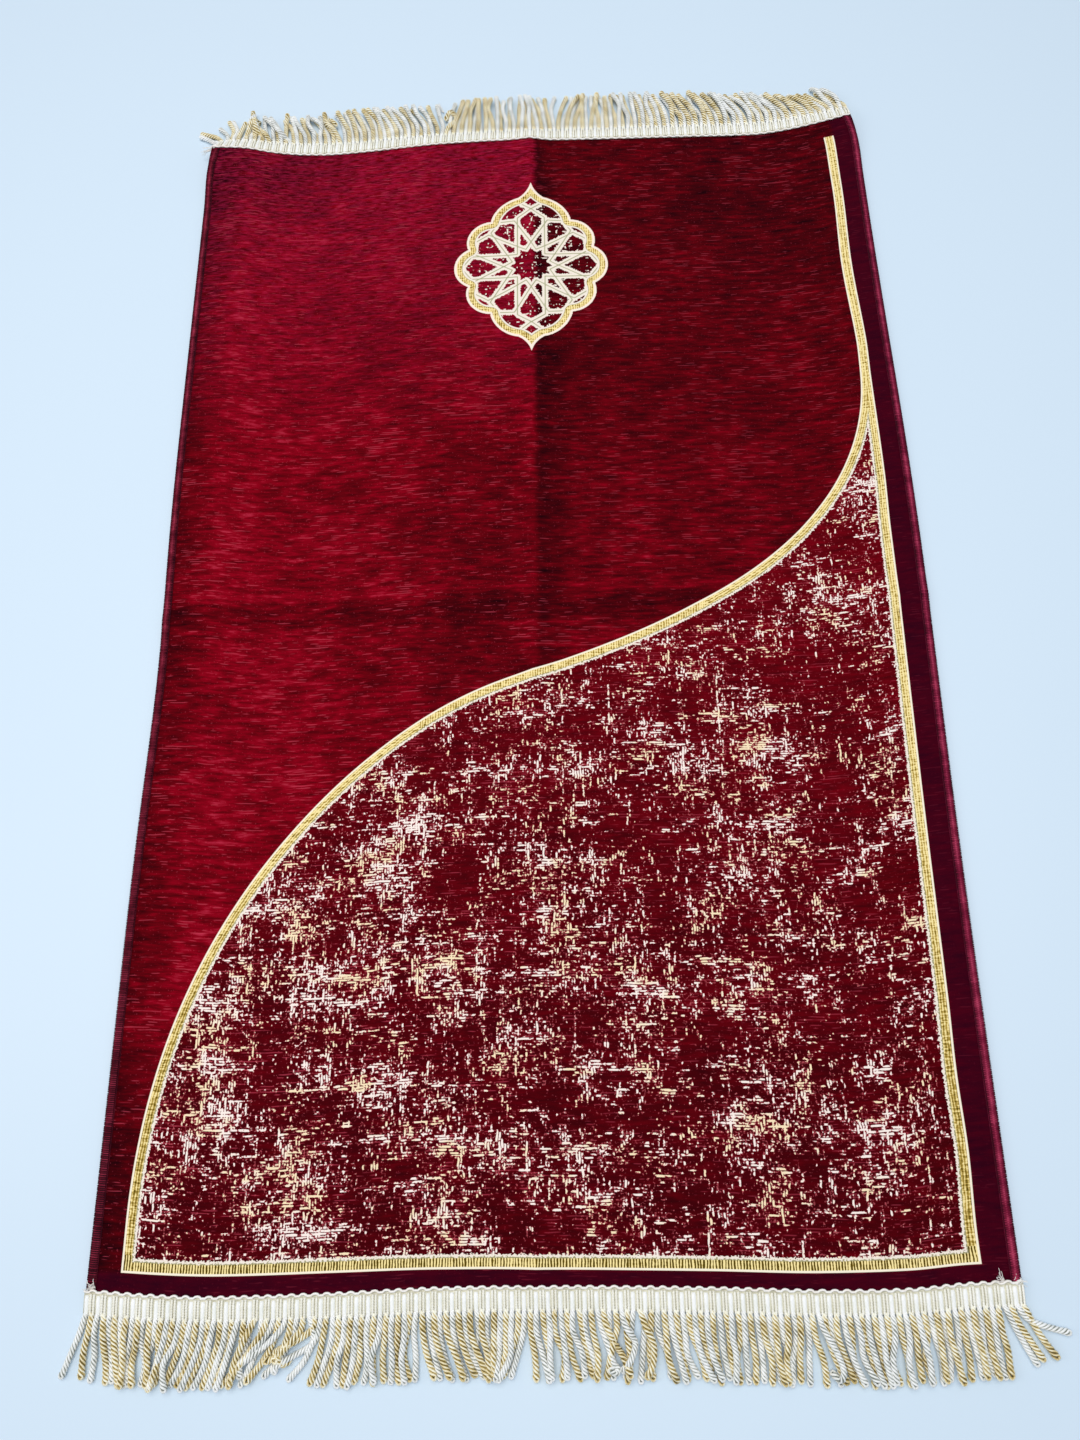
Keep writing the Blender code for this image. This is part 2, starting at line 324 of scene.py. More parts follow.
def laid(flat_across, flat_along):
    """Where a point of the flat cloth lies on the table."""
    from_fold = flat_across - LONG_FOLD["at"]
    share = from_fold / (HALF_CLOTH_RIGHT if from_fold > 0 else HALF_CLOTH_LEFT)
    along_share = (flat_along - FLAT_START) / FLAT_LONG
    rough = near_end(0.0) + (far_end(0.0) - near_end(0.0)) * clamped(along_share)
    side = right_side(rough) - EDGE_INSIDE if share > 0 else left_side(rough) + EDGE_INSIDE
    across = fold_line(rough) + abs(share) * (side - fold_line(rough))
    if share > 0:
        pulled = clamped((share - BAND_PULL["from"]) / BAND_PULL["grows"])
        pulled *= min((1.0 - share) / BAND_PULL["eases"], 1.0)
        across += pulled * table_at(BAND_WANDER, rough, 1)
    start = near_end(across)
    span = far_end(across) - start
    if along_share < 0.0:
        return across, start + along_share * FLAT_LONG
    if along_share > 1.0:
        return across, start + span + (along_share - 1.0) * FLAT_LONG
    return across, start + span * along_share + near_shift(across, flat_along)


def arc(start, middle, end, steps):
    """Points on the circle through three points, from the first towards the last."""
    (ax, ay), (bx, by), (cx, cy) = start, middle, end
    turn = 2 * (ax * (by - cy) + bx * (cy - ay) + cx * (ay - by))
    aa, bb, cc = ax * ax + ay * ay, bx * bx + by * by, cx * cx + cy * cy
    mid_x = (aa * (by - cy) + bb * (cy - ay) + cc * (ay - by)) / turn
    mid_y = (aa * (cx - bx) + bb * (ax - cx) + cc * (bx - ax)) / turn
    radius = math.hypot(ax - mid_x, ay - mid_y)
    first = math.atan2(ay - mid_y, ax - mid_x)
    sweep = (math.atan2(cy - mid_y, cx - mid_x) - first + math.pi) % (2 * math.pi) - math.pi
    angles = [first + sweep * step / steps for step in range(steps)]
    return [(mid_x + radius * math.cos(a), mid_y + radius * math.sin(a)) for a in angles]


def tree_of(points):
    """A search tree of points in the plane."""
    found = kdtree.KDTree(len(points))
    for number, (across, along) in enumerate(points):
        found.insert((across, along, 0.0), number)
    found.balance()
    return found


def straight(start, end, spacing):
    """Points along a straight line."""
    count = max(int(math.dist(start, end) / spacing), 1)
    return [tuple(a + (b - a) * n / count for a, b in zip(start, end)) for n in range(count + 1)]


# The ogee's centre line, run on down to the near end and up along the right band, so that it parts the cloth.
ogee_points = straight((OGEE[0][0][0], -LINES_END), OGEE[0][0], LINE_SPACING)[:-1]
for p0, p1, p2, p3 in OGEE:
    for step in range(OGEE_STEPS):
        t = step / OGEE_STEPS
        weights = ((1 - t) ** 3, 3 * (1 - t) ** 2 * t, 3 * (1 - t) * t * t, t**3)
        ogee_points.append(tuple(sum(w * p[i] for w, p in zip(weights, (p0, p1, p2, p3))) for i in (0, 1)))
ogee_points += straight(OGEE[1][3], (RIGHT_BAND, LINES_END), LINE_SPACING)
ogee_tree = tree_of(ogee_points)


def ogee_distance(across, along):
    """Distance from the ogee's centre line, positive on its speckled side."""
    place, number, distance = ogee_tree.find((across, along, 0.0))
    before = ogee_points[max(number - 1, 0)]
    after = ogee_points[min(number + 1, len(ogee_points) - 1)]
    turn = (after[0] - before[0]) * (along - place.y) - (after[1] - before[1]) * (across - place.x)
    return -distance if turn > 0 else distance


quarter = [point for lobe in MEDALLION_LOBES for point in arc(*lobe, LOBE_STEPS)]
quarter.append(MEDALLION_LOBES[-1][-1])
half_outline = quarter + [(-x, y) for x, y in reversed(quarter[:-1])]
outline = half_outline + [(x, -y) for x, y in reversed(half_outline[1:-1])]
outline_tree = tree_of(outline)
half_angles = [math.atan2(y, x) for x, y in half_outline]

strap_points = []
for petal in range(PETALS):
    angle = 2 * math.pi * petal / PETALS
    size = PETAL_LONG if petal % 3 == 0 else PETAL_SHORT
    for side in (-1, 1):
        lines = [
            ((STRAP_OFFSET, side * STRAP_OFFSET), (size["shoulder"], side * STRAP_OFFSET)),
            ((size["shoulder"], side * STRAP_OFFSET), (size["tip"], 0.0)),
        ]
        if petal % 6 == 3:
            lines.append(((size["tip"], 0.0), (size["tip"] + TIP_STRAPS[1], side * TIP_STRAPS[0])))
        for start, end in lines:
            for out, off in straight(start, end, STRAP_SPACING):
                across = out * math.cos(angle) - off * math.sin(angle)
                along = out * math.sin(angle) + off * math.cos(angle)
                strap_points.append((across, along))
strap_tree = tree_of(strap_points)


def medallion_depth(across, along):
    """How far inside the medallion's outline a point lies, negative outside it."""
    distance = outline_tree.find((across, along, 0.0))[2]
    angle = math.atan2(abs(along), across)
    number = min(max(bisect.bisect_left(half_angles, angle), 0), len(half_outline) - 1)
    inside = math.hypot(across, along) < math.hypot(*half_outline[number])
    return distance if inside else -distance


def top_height(across, along):
    return end_lift(across, along) + CLOTH_THICK + wrinkle(across, along)


# The top is a fine grid, and finer still where the medallion is woven.
bm = bmesh.new()
flat_layer = bm.loops.layers.uv.new("flat")
columns = [
    LONG_FOLD["at"] + number * (HALF_CLOTH_LEFT if number < 0 else HALF_CLOTH_RIGHT) / HALF_COLUMNS
    for number in range(-HALF_COLUMNS, HALF_COLUMNS + 1)
]
hem_steps = [HEM_TUCK * (HEM_ROWS - number) / HEM_ROWS for number in range(HEM_ROWS)]
lines = [FLAT_START - step for step in hem_steps]
lines += [FLAT_START + FLAT_LONG * number / ROWS for number in range(ROWS + 1)]
lines += [FLAT_START + FLAT_LONG + step for step in reversed(hem_steps)]

tops = []
flat_of = {}
for line in lines:
    row = []
    for column in columns:
        across, along = laid(column, line)
        point = bm.verts.new((across, along, top_height(across, along)))
        flat_of[point] = (column, line)
        row.append(point)
    tops.append(row)
medallion_faces = []
for number, (row, beyond) in enumerate(zip(tops, tops[1:])):
    for here in range(len(columns) - 1):
        face = bm.faces.new((row[here], row[here + 1], beyond[here + 1], beyond[here]))
        face.smooth = True
        middle_across = (columns[here] + columns[here + 1]) / 2 - MEDALLION[0]
        middle_along = (lines[number] + lines[number + 1]) / 2 - MEDALLION[1]
        if abs(middle_across) < FINE_BOX[0] and abs(middle_along) < FINE_BOX[1]:
            if medallion_depth(middle_across, middle_along) > -FINE_RIM:
                medallion_faces.append(face)

# The underside is a coarser grid. Along the rim it has every point of the top, and joins it there.
lows = {}


def low_point(row, column):
    if (row, column) not in lows:
        across, along = laid(columns[column], lines[row])
        lows[row, column] = bm.verts.new((across, along, end_lift(across, along)))
    return lows[row, column]


def low_run(start, end):
    """The points from one corner of a block up to the next, with those between only on the rim."""
    (row, column), (row_end, column_end) = start, end
    steps = max(abs(row_end - row), abs(column_end - column))
    on_rim = (row == row_end and row in (0, len(lines) - 1)) or (
        column == column_end and column in (0, len(columns) - 1)
    )
    places = range(steps) if on_rim else (0,)
    return [
        low_point(row + (row_end - row) * n // steps, column + (column_end - column) * n // steps)
        for n in places
    ]


for row in range(0, len(lines) - 1, BLOCK_ROWS):
    for column in range(0, len(columns) - 1, BLOCK_COLUMNS):
        corners = (
            (row, column),
            (row + BLOCK_ROWS, column),
            (row + BLOCK_ROWS, column + BLOCK_COLUMNS),
            (row, column + BLOCK_COLUMNS),
        )
        block = []
        for start, end in zip(corners, corners[1:] + corners[:1]):
            block += low_run(start, end)
        bm.faces.new(block).smooth = True
last_row, last_column = len(lines) - 1, len(columns) - 1
rim = [(0, n) for n in range(last_column)] + [(n, last_column) for n in range(last_row)]
rim += [(last_row, n) for n in range(last_column, 0, -1)] + [(n, 0) for n in range(last_row, 0, -1)]
for here, after in zip(rim, rim[1:] + rim[:1]):
    bm.faces.new((lows[here], lows[after], tops[after[0]][after[1]], tops[here[0]][here[1]]))
for (row, column), point in lows.items():
    flat_of[point] = (columns[column], lines[row])
for point, place in flat_of.items():
    for loop in point.link_loops:
        loop[flat_layer].uv = place
medallion_edges = list({edge for face in medallion_faces for edge in face.edges})
split = bmesh.ops.subdivide_edges(bm, edges=medallion_edges, cuts=FINE_CUTS, use_grid_fill=True)
for point in split["geom_inner"]:
    if isinstance(point, bmesh.types.BMVert):
        point.co.z = top_height(point.co.x, point.co.y)

# Each point knows how far it lies from the design's lines: the ogee, the medallion's outline and its straps.
design = bm.verts.layers.float_vector.new("design")
for point in bm.verts:
    across, along = point.link_loops[0][flat_layer].uv
    near_across, near_along = across - MEDALLION[0], along - MEDALLION[1]
    depth, strap = -FAR_OFF, FAR_OFF
    if abs(near_across) < LINES_BOX[0] and abs(near_along) < LINES_BOX[1]:
        depth = medallion_depth(near_across, near_along)
        strap = strap_tree.find((near_across, near_along, 0.0))[2]
    point[design] = (ogee_distance(across, along), depth, strap)

bmesh.ops.recalc_face_normals(bm, faces=bm.faces)
mesh = bpy.data.meshes.new("rug_sheet")
bm.to_mesh(mesh)
bm.free()
rug = bpy.data.objects.new("rug_sheet", mesh)
bpy.context.scene.collection.objects.link(rug)

# Chenille velvet of rayon and polyester, jacquard woven. The pile is a soft crimson that streaks along its
# weft. Painted light makes it lighter left of the long fold, where the nap and the fold's flank catch the
# lamp, with lighter single fibres that carry painted glints and a pinker painted sheen towards the far left;
# painted shade darkens it right of the fold and in the creases. The gold bands are flat ribbed yarn, with
# painted highlights on the ribs and painted shade between them, and the cream of the speckled ground shows in
# broken strokes. Threads finer than about 1 mm are drawn that coarse, so that they show.
PILE_TONES = ((0.0, "#190005"), (0.3, "#470007"), (0.5, "#67000c"), (0.7, "#8c0017"), (1.0, "#c0304a"))
PILE_HAIR_GLINT = "#d4485e"  # single lighter fibres, with their glint painted
PAINTED_SHEEN = "#a81c4a"  # painted sheen: pinker pile where the nap catches the light towards the far left
PILE_WINE = "#4c0024"  # darker pile in the margins
HIDDEN_FLOAT = "#cc5a64"  # a cream thread that shows through the pile
CREAM_FLOATS = ("#fff0e6", "#fde7be")
# The gold yarn, from painted shade between its ribs to a painted highlight on their crests.
GOLD_TONES = ((0.40, "#5a480f"), (0.72, "#bf9f48"), (0.96, "#ffeaa6"))
PALE_THREAD = "#f8ecdc"
OLIVE_THREAD = "#a39d74"  # parts a gold band from the pale line beside it
STRAP_THREAD = "#b0b08a"  # along the middle of each strap of the medallion
# Painted light makes the pile lighter left of the long fold, painted shade darker right of it.
LIT_LEFT_TONE = 0.545  # the pile's tone left and right of the long fold, on the scale of its tones
SHADED_RIGHT_TONE = 0.355
MARGIN_TONE = 0.13
GROUND_TONES = (0.30, 0.46)  # in the speckled ground, at the near end and at its far corner
GRAINS = {
    # name: size across and along in mm, detail, seed
    "streak": (26.0, 4.2, 4.0, 3.1),
    "fine_streak": (9.0, 1.5, 2.0, 9.7),
    "nap": (80.0, 60.0, 3.0, 1.3),
    "wash": (26.0, 8.0, 2.0, 6.6),
    "dot": (2.2, 1.9, 1.0, 18.9),
    "density": (75.0, 60.0, 3.0, 22.2),
    "cluster_across": (52.0, 10.0, 3.0, 26.8),
    "cluster_along": (10.0, 42.0, 3.0, 29.5),
    "gold_patch": (40.0, 24.0, 2.0, 33.3),
    "edge": (1.9, 1.6, 1.0, 45.0),
    "rib": (4.0, 9.0, 2.0, 51.0),
    "pile": (0.8, 0.8, 1.0, 41.0),
}
PILE_STREAKS = {"streak": 0.74, "fine_streak": 0.30, "nap": 0.34, "wash": 0.28}
CALMED = 0.55  # how far the streaks are left in the margins and the speckled ground
# Single fibres with painted glints, and floats: the level of their pattern from which they show, where they
# are full, how strong.
HAIR_GLINTS = {"from": 0.85, "full": 0.93, "most": 0.36, "on_right": 0.65, "in_margin": 0.3}
NUBS = {"from": 0.72, "full": 0.76, "most": 0.20}
HIDDEN_FLOATS = {"from": 1.62, "full": 1.70, "most": 0.62}
BARE_FLOATS = {"from": 1.73, "full": 1.75}
PAINTED_SHEEN_MOST = 0.40
WINE_MOST = 0.30
SOFT_EDGE = 0.1  # mm on both sides of a woven edge
THREADS = {
    # name: the threads' way, mm from one to the next, how thick each is drawn as a share of that, mm that a
    # stroke runs on, seed
    "hair": ("across", 2.1, 0.45, 16.0, 5.2),
    "stroke_across": ("across", 2.1, 0.76, 8.5, 12.4),
    "stroke_along": ("along", 2.1, 0.76, 6.5, 15.2),
}
STROKE_SOFT = 0.08  # of a thread's pitch, on both sides of its edge
STROKE_GAP = -0.45  # how much less shows between the threads
RIB_PITCH = 2.2  # mm between the ribs of the gold yarn

velvet, tree = new_material("chenille_velvet")
flat = add(tree, "UVMap", uv_map="flat")
mm = add(tree, "VectorMath", {0: flat, "Scale": 1000.0}, operation="SCALE")
across_mm, along_mm = add(tree, "SeparateXYZ", {0: mm}).node.outputs[:2]
lines_m = add(tree, "Attribute", attribute_name="design").node.outputs["Vector"]
lines_mm = add(tree, "VectorMath", {0: lines_m, "Scale": 1000.0}, operation="SCALE")
ogee_mm, depth_mm, strap_mm = add(tree, "SeparateXYZ", {0: lines_mm}).node.outputs
grain = {}
for name, (wide, long, detail, seed) in GRAINS.items():
    sizes = {0: mm, 1: (1.0 / wide, 1.0 / long, 0.0), 2: (seed, seed * 1.7, 0.0)}
    place = add(tree, "VectorMath", sizes, operation="MULTIPLY_ADD")
    settings = {"Vector": place, "Scale": 1.0, "Detail": detail, "Roughness": 0.55}
    grain[name] = add(tree, "TexNoise", settings, noise_dimensions="2D")

# A stroke is one thread thick, and runs on for as long as its thread's own grain is high.
stroke = {}
for name, (way, pitch, thick, long, seed) in THREADS.items():
    run, beside = (across_mm, along_mm) if way == "across" else (along_mm, across_mm)
    counted = add(tree, "Math", {0: beside, 1: 1.0 / pitch, 2: grain["wash"]}, operation="MULTIPLY_ADD")
    number = add(tree, "Math", {0: counted}, operation="FLOOR")
    off_thread = add(tree, "Math", {0: counted, 1: number}, operation="SUBTRACT")
    off_thread = add(tree, "Math", {0: off_thread, 1: 0.5}, operation="SUBTRACT")
    off_thread = add(tree, "Math", {0: off_thread}, operation="ABSOLUTE")
    limits = {1: thick / 2 - STROKE_SOFT, 2: thick / 2 + STROKE_SOFT, 3: 0.0, 4: STROKE_GAP}
    gap = add(tree, "MapRange", {0: off_thread, **limits})
    place = add(tree, "CombineXYZ", {"X": run, "Y": number})
    sizes = {0: place, 1: (1.0 / long, 3.73, 0.0), 2: (seed, seed * 1.7, 0.0)}
    place = add(tree, "VectorMath", sizes, operation="MULTIPLY_ADD")
    settings = {"Vector": place, "Scale": 1.0, "Detail": 1.0, "Roughness": 0.55}
    thread = add(tree, "TexNoise", settings, noise_dimensions="2D")
    stroke[name] = add(tree, "Math", {0: thread, 1: gap})

# How deep a point lies in the speckled ground, in mm; the gold band is the strip on both sides of its edge.
half = BAND_HALF * 1000.0
inside_right = add(tree, "Math", {0: RIGHT_BAND * 1000.0, 1: across_mm}, operation="SUBTRACT")
inside_near = add(tree, "Math", {0: along_mm, 1: NEAR_BAND * 1000.0}, operation="SUBTRACT")
inside_frame = add(tree, "Math", {0: inside_right, 1: inside_near}, operation="MINIMUM")
inside = add(tree, "Math", {0: inside_frame, 1: ogee_mm}, operation="MINIMUM")
beyond_top = add(tree, "Math", {0: along_mm, 1: RIGHT_BAND_TOP * 1000.0}, operation="GREATER_THAN")
inside = add(tree, "Math", {0: beyond_top, 1: -100.0, 2: inside}, operation="MULTIPLY_ADD")
ragged = add(tree, "Math", {0: grain["edge"], 1: 3.4, 2: -1.7}, operation="MULTIPLY_ADD")
ragged_inside = add(tree, "Math", {0: inside, 1: ragged})
speckled = add(tree, "MapRange", {0: ragged_inside, 1: half - SOFT_EDGE, 2: half + SOFT_EDGE})

# The pile's tone: lighter left of the long fold with painted light, darker right of it with painted shade,
# with painted light and shade on the fold's flanks and in its creases; dark in the margins and towards the
# near end.
fold_mm = LONG_FOLD["at"] * 1000.0 + 6.5
wander = add(tree, "Math", {0: grain["wash"], 1: 8.0, 2: across_mm}, operation="MULTIPLY_ADD")
towards_fold = add(tree, "MapRange", {0: across_mm, 1: -200.0, 2: -20.0})
down_left = add(tree, "MapRange", {0: along_mm, 1: 330.0, 2: 120.0, 3: 0.0, 4: -0.12})
lit_left_tone = add(tree, "Math", {0: towards_fold, 1: down_left, 2: LIT_LEFT_TONE}, operation="MULTIPLY_ADD")
outer_left = add(tree, "MapRange", {0: across_mm, 1: -150.0, 2: -260.0, 3: 0.0, 4: 0.05})
lit_left_tone = add(tree, "Math", {0: lit_left_tone, 1: outer_left})
limits = {1: 250.0, 2: 0.0, 3: SHADED_RIGHT_TONE + 0.01, 4: SHADED_RIGHT_TONE + 0.10}
shaded_right_tone = add(tree, "MapRange", {0: along_mm, **limits})
past_fold = add(tree, "MapRange", {0: wander, 1: fold_mm, 2: fold_mm + 5.0})
tone = add(tree, "Mix", {0: past_fold, 2: lit_left_tone, 3: shaded_right_tone}, data_type="FLOAT")
# Painted light on the fold's left flank as it rises to the crest, painted shade on its right flank past it.
fold_flank_light = add(tree, "MapRange", {0: wander, 1: fold_mm - 24.0, 2: fold_mm, 3: 0.0, 4: 0.07})
fold_flank_shade = add(tree, "MapRange", {0: wander, 1: fold_mm + 12.0, 2: fold_mm + 38.0, 3: -0.10, 4: 0.0})
rim = add(tree, "Mix", {0: past_fold, 2: fold_flank_light, 3: fold_flank_shade}, data_type="FLOAT")
tone = add(tree, "Math", {0: tone, 1: rim})
cross_mm = CROSS_FOLD["at"] * 1000.0
wander_along = add(tree, "Math", {0: grain["nap"], 1: 12.0, 2: along_mm}, operation="MULTIPLY_ADD")
# Painted shade in the creases of the long and the cross fold, and painted light on the cross fold's far
# flank.
for place, line, full, none, change in (
    # by, the crease's line, as wide as it is full, where it ends, how much lighter it is
    (wander, fold_mm + 7.0, 1.0, 9.0, -0.06),
    (wander_along, cross_mm + 7.0, 5.0, 15.0, -0.14),
    (wander_along, cross_mm + 27.0, 1.0, 8.0, 0.10),
):
    from_fold = add(tree, "Math", {0: place, 1: line}, operation="SUBTRACT")
    from_fold = add(tree, "Math", {0: from_fold}, operation="ABSOLUTE")
    crease = add(tree, "MapRange", {0: from_fold, 1: full, 2: none, 3: change, 4: 0.0})
    tone = add(tree, "Math", {0: tone, 1: crease})
from_corner = [
    add(tree, "VectorMath", {0: mm, 1: corner}, operation="DISTANCE")
    for corner in ((-330.0, -560.0, 0.0), (-330.0, 560.0, 0.0), (330.0, 560.0, 0.0))
]
for place, start, end, low in (
    # by, from where it darkens, where it is full, how dark
    (from_corner[0], 210.0, 110.0, -0.20),
    (across_mm, -300.0, -340.0, -0.24),
    (from_corner[1], 160.0, 70.0, -0.22),
    (from_corner[2], 300.0, 110.0, -0.11),
):
    shade = add(tree, "MapRange", {0: place, 1: start, 2: end, 3: 0.0, 4: low})
    tone = add(tree, "Math", {0: tone, 1: shade})
margin = add(tree, "MapRange", {0: inside_frame, 1: -3.0, 2: -7.0})
tone = add(tree, "Mix", {0: margin, 2: tone, 3: MARGIN_TONE}, data_type="FLOAT")
limits = {1: -500.0, 2: 60.0, 3: GROUND_TONES[0], 4: GROUND_TONES[1]}
ground_tone = add(tree, "MapRange", {0: along_mm, **limits})
tone = add(tree, "Mix", {0: speckled, 2: tone, 3: ground_tone}, data_type="FLOAT")
streaks = add(tree, "Math", {0: grain["pile"], 1: 0.06, 2: -0.03}, operation="MULTIPLY_ADD")
for name, weight in PILE_STREAKS.items():
    level = add(tree, "Math", {0: grain[name], 1: 0.5}, operation="SUBTRACT")
    streaks = add(tree, "Math", {0: level, 1: weight, 2: streaks}, operation="MULTIPLY_ADD")
calm = add(tree, "Math", {0: margin, 1: speckled}, operation="MAXIMUM")
calm = add(tree, "MapRange", {0: calm, 3: 1.0, 4: CALMED})
tone = add(tree, "Math", {0: streaks, 1: calm, 2: tone}, operation="MULTIPLY_ADD")
pile_colour = add(tree, "ValToRGB", {0: tone}, stops=PILE_TONES)
# Single fibres with painted glints, fewer right of the fold where the pile is in painted shade, and nubs.
hair = add(tree, "Math", {0: grain["nap"], 1: 0.45, 2: stroke["hair"]}, operation="MULTIPLY_ADD")
glint_and_nub_share = add(tree, "MapRange", {0: hair, 1: HAIR_GLINTS["from"], 2: HAIR_GLINTS["full"], 4: HAIR_GLINTS["most"]})
nubs = add(tree, "MapRange", {0: grain["dot"], 1: NUBS["from"], 2: NUBS["full"], 4: NUBS["most"]})
glint_and_nub_share = add(tree, "Math", {0: glint_and_nub_share, 1: nubs}, operation="MAXIMUM")
on_right = add(tree, "MapRange", {0: past_fold, 3: 1.0, 4: HAIR_GLINTS["on_right"]})
glint_and_nub_share = add(tree, "Math", {0: glint_and_nub_share, 1: on_right}, operation="MULTIPLY")
off_margin = add(tree, "MapRange", {0: margin, 3: 1.0, 4: HAIR_GLINTS["in_margin"]})
glint_and_nub_share = add(tree, "Math", {0: glint_and_nub_share, 1: off_margin}, operation="MULTIPLY")
pile_colour = add(tree, "Mix", {0: glint_and_nub_share, 6: pile_colour, 7: linear(PILE_HAIR_GLINT)}, data_type="RGBA")
# Painted sheen: left of the fold, towards the far left, the nap is drawn pinker where it catches the light.
painted_sheen = add(tree, "MapRange", {0: along_mm, 1: 180.0, 2: 520.0, 3: 0.0, 4: PAINTED_SHEEN_MOST})
streaky = add(tree, "MapRange", {0: grain["fine_streak"], 1: 0.38, 2: 0.66})
painted_sheen = add(tree, "Math", {0: painted_sheen, 1: streaky}, operation="MULTIPLY")
painted_sheen = add(tree, "Mix", {0: past_fold, 2: painted_sheen, 3: 0.0}, data_type="FLOAT")
pile_colour = add(tree, "Mix", {0: painted_sheen, 6: pile_colour, 7: linear(PAINTED_SHEEN)}, data_type="RGBA")
wine_share = add(tree, "Math", {0: margin, 1: WINE_MOST}, operation="MULTIPLY")
pile_colour = add(tree, "Mix", {0: wine_share, 6: pile_colour, 7: linear(PILE_WINE)}, data_type="RGBA")

# The speckled ground: cream strokes across and along, gathered in clusters, others half hidden in the pile.
speck = None
for way in ("across", "along"):
    sizes = {0: grain["cluster_" + way], 1: 0.85, 2: stroke["stroke_" + way]}
    strokes = add(tree, "Math", sizes, operation="MULTIPLY_ADD")
    speck = add(tree, "Math", {0: speck, 1: strokes}, operation="MAXIMUM") if speck else strokes
speck = add(tree, "Math", {0: grain["dot"], 1: 0.55, 2: speck}, operation="MULTIPLY_ADD")
speck = add(tree, "Math", {0: grain["density"], 1: 0.6, 2: speck}, operation="MULTIPLY_ADD")
for place, start, end, more in (
    # by, from where the strokes gather, where they are densest, how much more show
    (along_mm, 100.0, -450.0, 0.015),
    (along_mm, 0.0, 200.0, 0.055),
    (across_mm, 50.0, -250.0, 0.055),
):
    denser = add(tree, "MapRange", {0: place, 1: start, 2: end, 3: 0.0, 4: more})
    speck = add(tree, "Math", {0: speck, 1: denser})
limits = {1: HIDDEN_FLOATS["from"], 2: HIDDEN_FLOATS["full"], 4: HIDDEN_FLOATS["most"]}
hidden_share = add(tree, "MapRange", {0: speck, **limits})
half_hidden = add(tree, "Mix", {0: hidden_share, 6: pile_colour, 7: linear(HIDDEN_FLOAT)}, data_type="RGBA")
cream_share = add(tree, "MapRange", {0: speck, 1: BARE_FLOATS["from"], 2: BARE_FLOATS["full"]})
gold_share = add(tree, "MapRange", {0: grain["gold_patch"], 1: 0.46, 2: 0.60})
cream, gold_cream = [linear(code) for code in CREAM_FLOATS]
cream = add(tree, "Mix", {0: gold_share, 6: cream, 7: gold_cream}, data_type="RGBA")
ground = add(tree, "Mix", {0: cream_share, 6: half_hidden, 7: cream}, data_type="RGBA")

# The gold yarn is ribbed across the band where the band runs level, and along it elsewhere. Its ribs are
# drawn with a painted highlight on each crest and painted shade between them.
level_near = add(tree, "Math", {0: inside_near, 1: half + 2.0}, operation="LESS_THAN")
level_ogee = add(tree, "Math", {0: across_mm, 1: 20.0, 2: 125.0}, operation="COMPARE")
level = add(tree, "Math", {0: level_near, 1: level_ogee}, operation="MAXIMUM")
rib_place = add(tree, "Mix", {0: level, 2: inside, 3: across_mm}, data_type="FLOAT")
gold_of = {}
contrast = add(tree, "MapRange", {0: level_near, 3: 0.18, 4: 0.75})
brighter = add(tree, "MapRange", {0: along_mm, 1: -420.0, 2: -200.0, 3: -0.03, 4: 0.12})
for part, place in (("band", rib_place), ("medallion", across_mm)):
    turns = add(tree, "Math", {0: place, 1: 2 * math.pi / RIB_PITCH}, operation="MULTIPLY")
    turns = add(tree, "Math", {0: grain["rib"], 1: 5.0, 2: turns}, operation="MULTIPLY_ADD")
    wave = add(tree, "Math", {0: turns}, operation="SINE")
    yarn_place = add(tree, "CombineXYZ", {"X": place, "Y": ogee_mm})
    yarn_place = add(tree, "VectorMath", {0: yarn_place, 1: (0.25, 0.06, 0.0)}, operation="MULTIPLY")
    yarns = add(tree, "TexNoise", {"Vector": yarn_place, "Scale": 1.0, "Detail": 2.0}, noise_dimensions="2D")
    yarns = add(tree, "Math", {0: yarns, 1: 2.4, 2: -1.2}, operation="MULTIPLY_ADD")
    rib_light_and_shade = add(tree, "Math", {0: wave, 1: yarns})
    rib_light_and_shade = add(tree, "Math", {0: rib_light_and_shade, 1: contrast, 2: grain["fine_streak"]}, operation="MULTIPLY_ADD")
    rib_light_and_shade = add(tree, "Math", {0: grain["edge"], 1: 0.5, 2: rib_light_and_shade}, operation="MULTIPLY_ADD")
    rib_light_and_shade = add(tree, "Math", {0: rib_light_and_shade, 1: brighter})
    gold_of[part] = add(tree, "ValToRGB", {0: rib_light_and_shade}, stops=GOLD_TONES)

# The medallion's cells are crimson, flecked with cream, between cream straps that an olive thread parts.
fleck = add(tree, "Math", {0: stroke["stroke_across"], 1: stroke["stroke_along"]}, operation="MAXIMUM")
fleck = add(tree, "Math", {0: grain["dot"], 1: 0.3, 2: fleck}, operation="MULTIPLY_ADD")
fleck = add(tree, "Math", {0: grain["cluster_along"], 1: 0.4, 2: fleck}, operation="MULTIPLY_ADD")
fleck_share = add(tree, "MapRange", {0: fleck, 1: 1.05, 2: 1.09})
pale, olive = linear(PALE_THREAD), linear(OLIVE_THREAD)
cells = add(tree, "Mix", {0: fleck_share, 6: pile_colour, 7: pale}, data_type="RGBA")
ragged_strap = add(tree, "Math", {0: ragged, 1: 0.75, 2: strap_mm}, operation="MULTIPLY_ADD")
beside_strap = add(tree, "MapRange", {0: ragged_strap, 1: 2.9, 2: 3.2})
lacing = add(tree, "Mix", {0: beside_strap, 6: pale, 7: cells}, data_type="RGBA")
mid_strap = add(tree, "MapRange", {0: strap_mm, 1: 0.85, 2: 0.35})
lacing = add(tree, "Mix", {0: mid_strap, 6: lacing, 7: linear(STRAP_THREAD)}, data_type="RGBA")

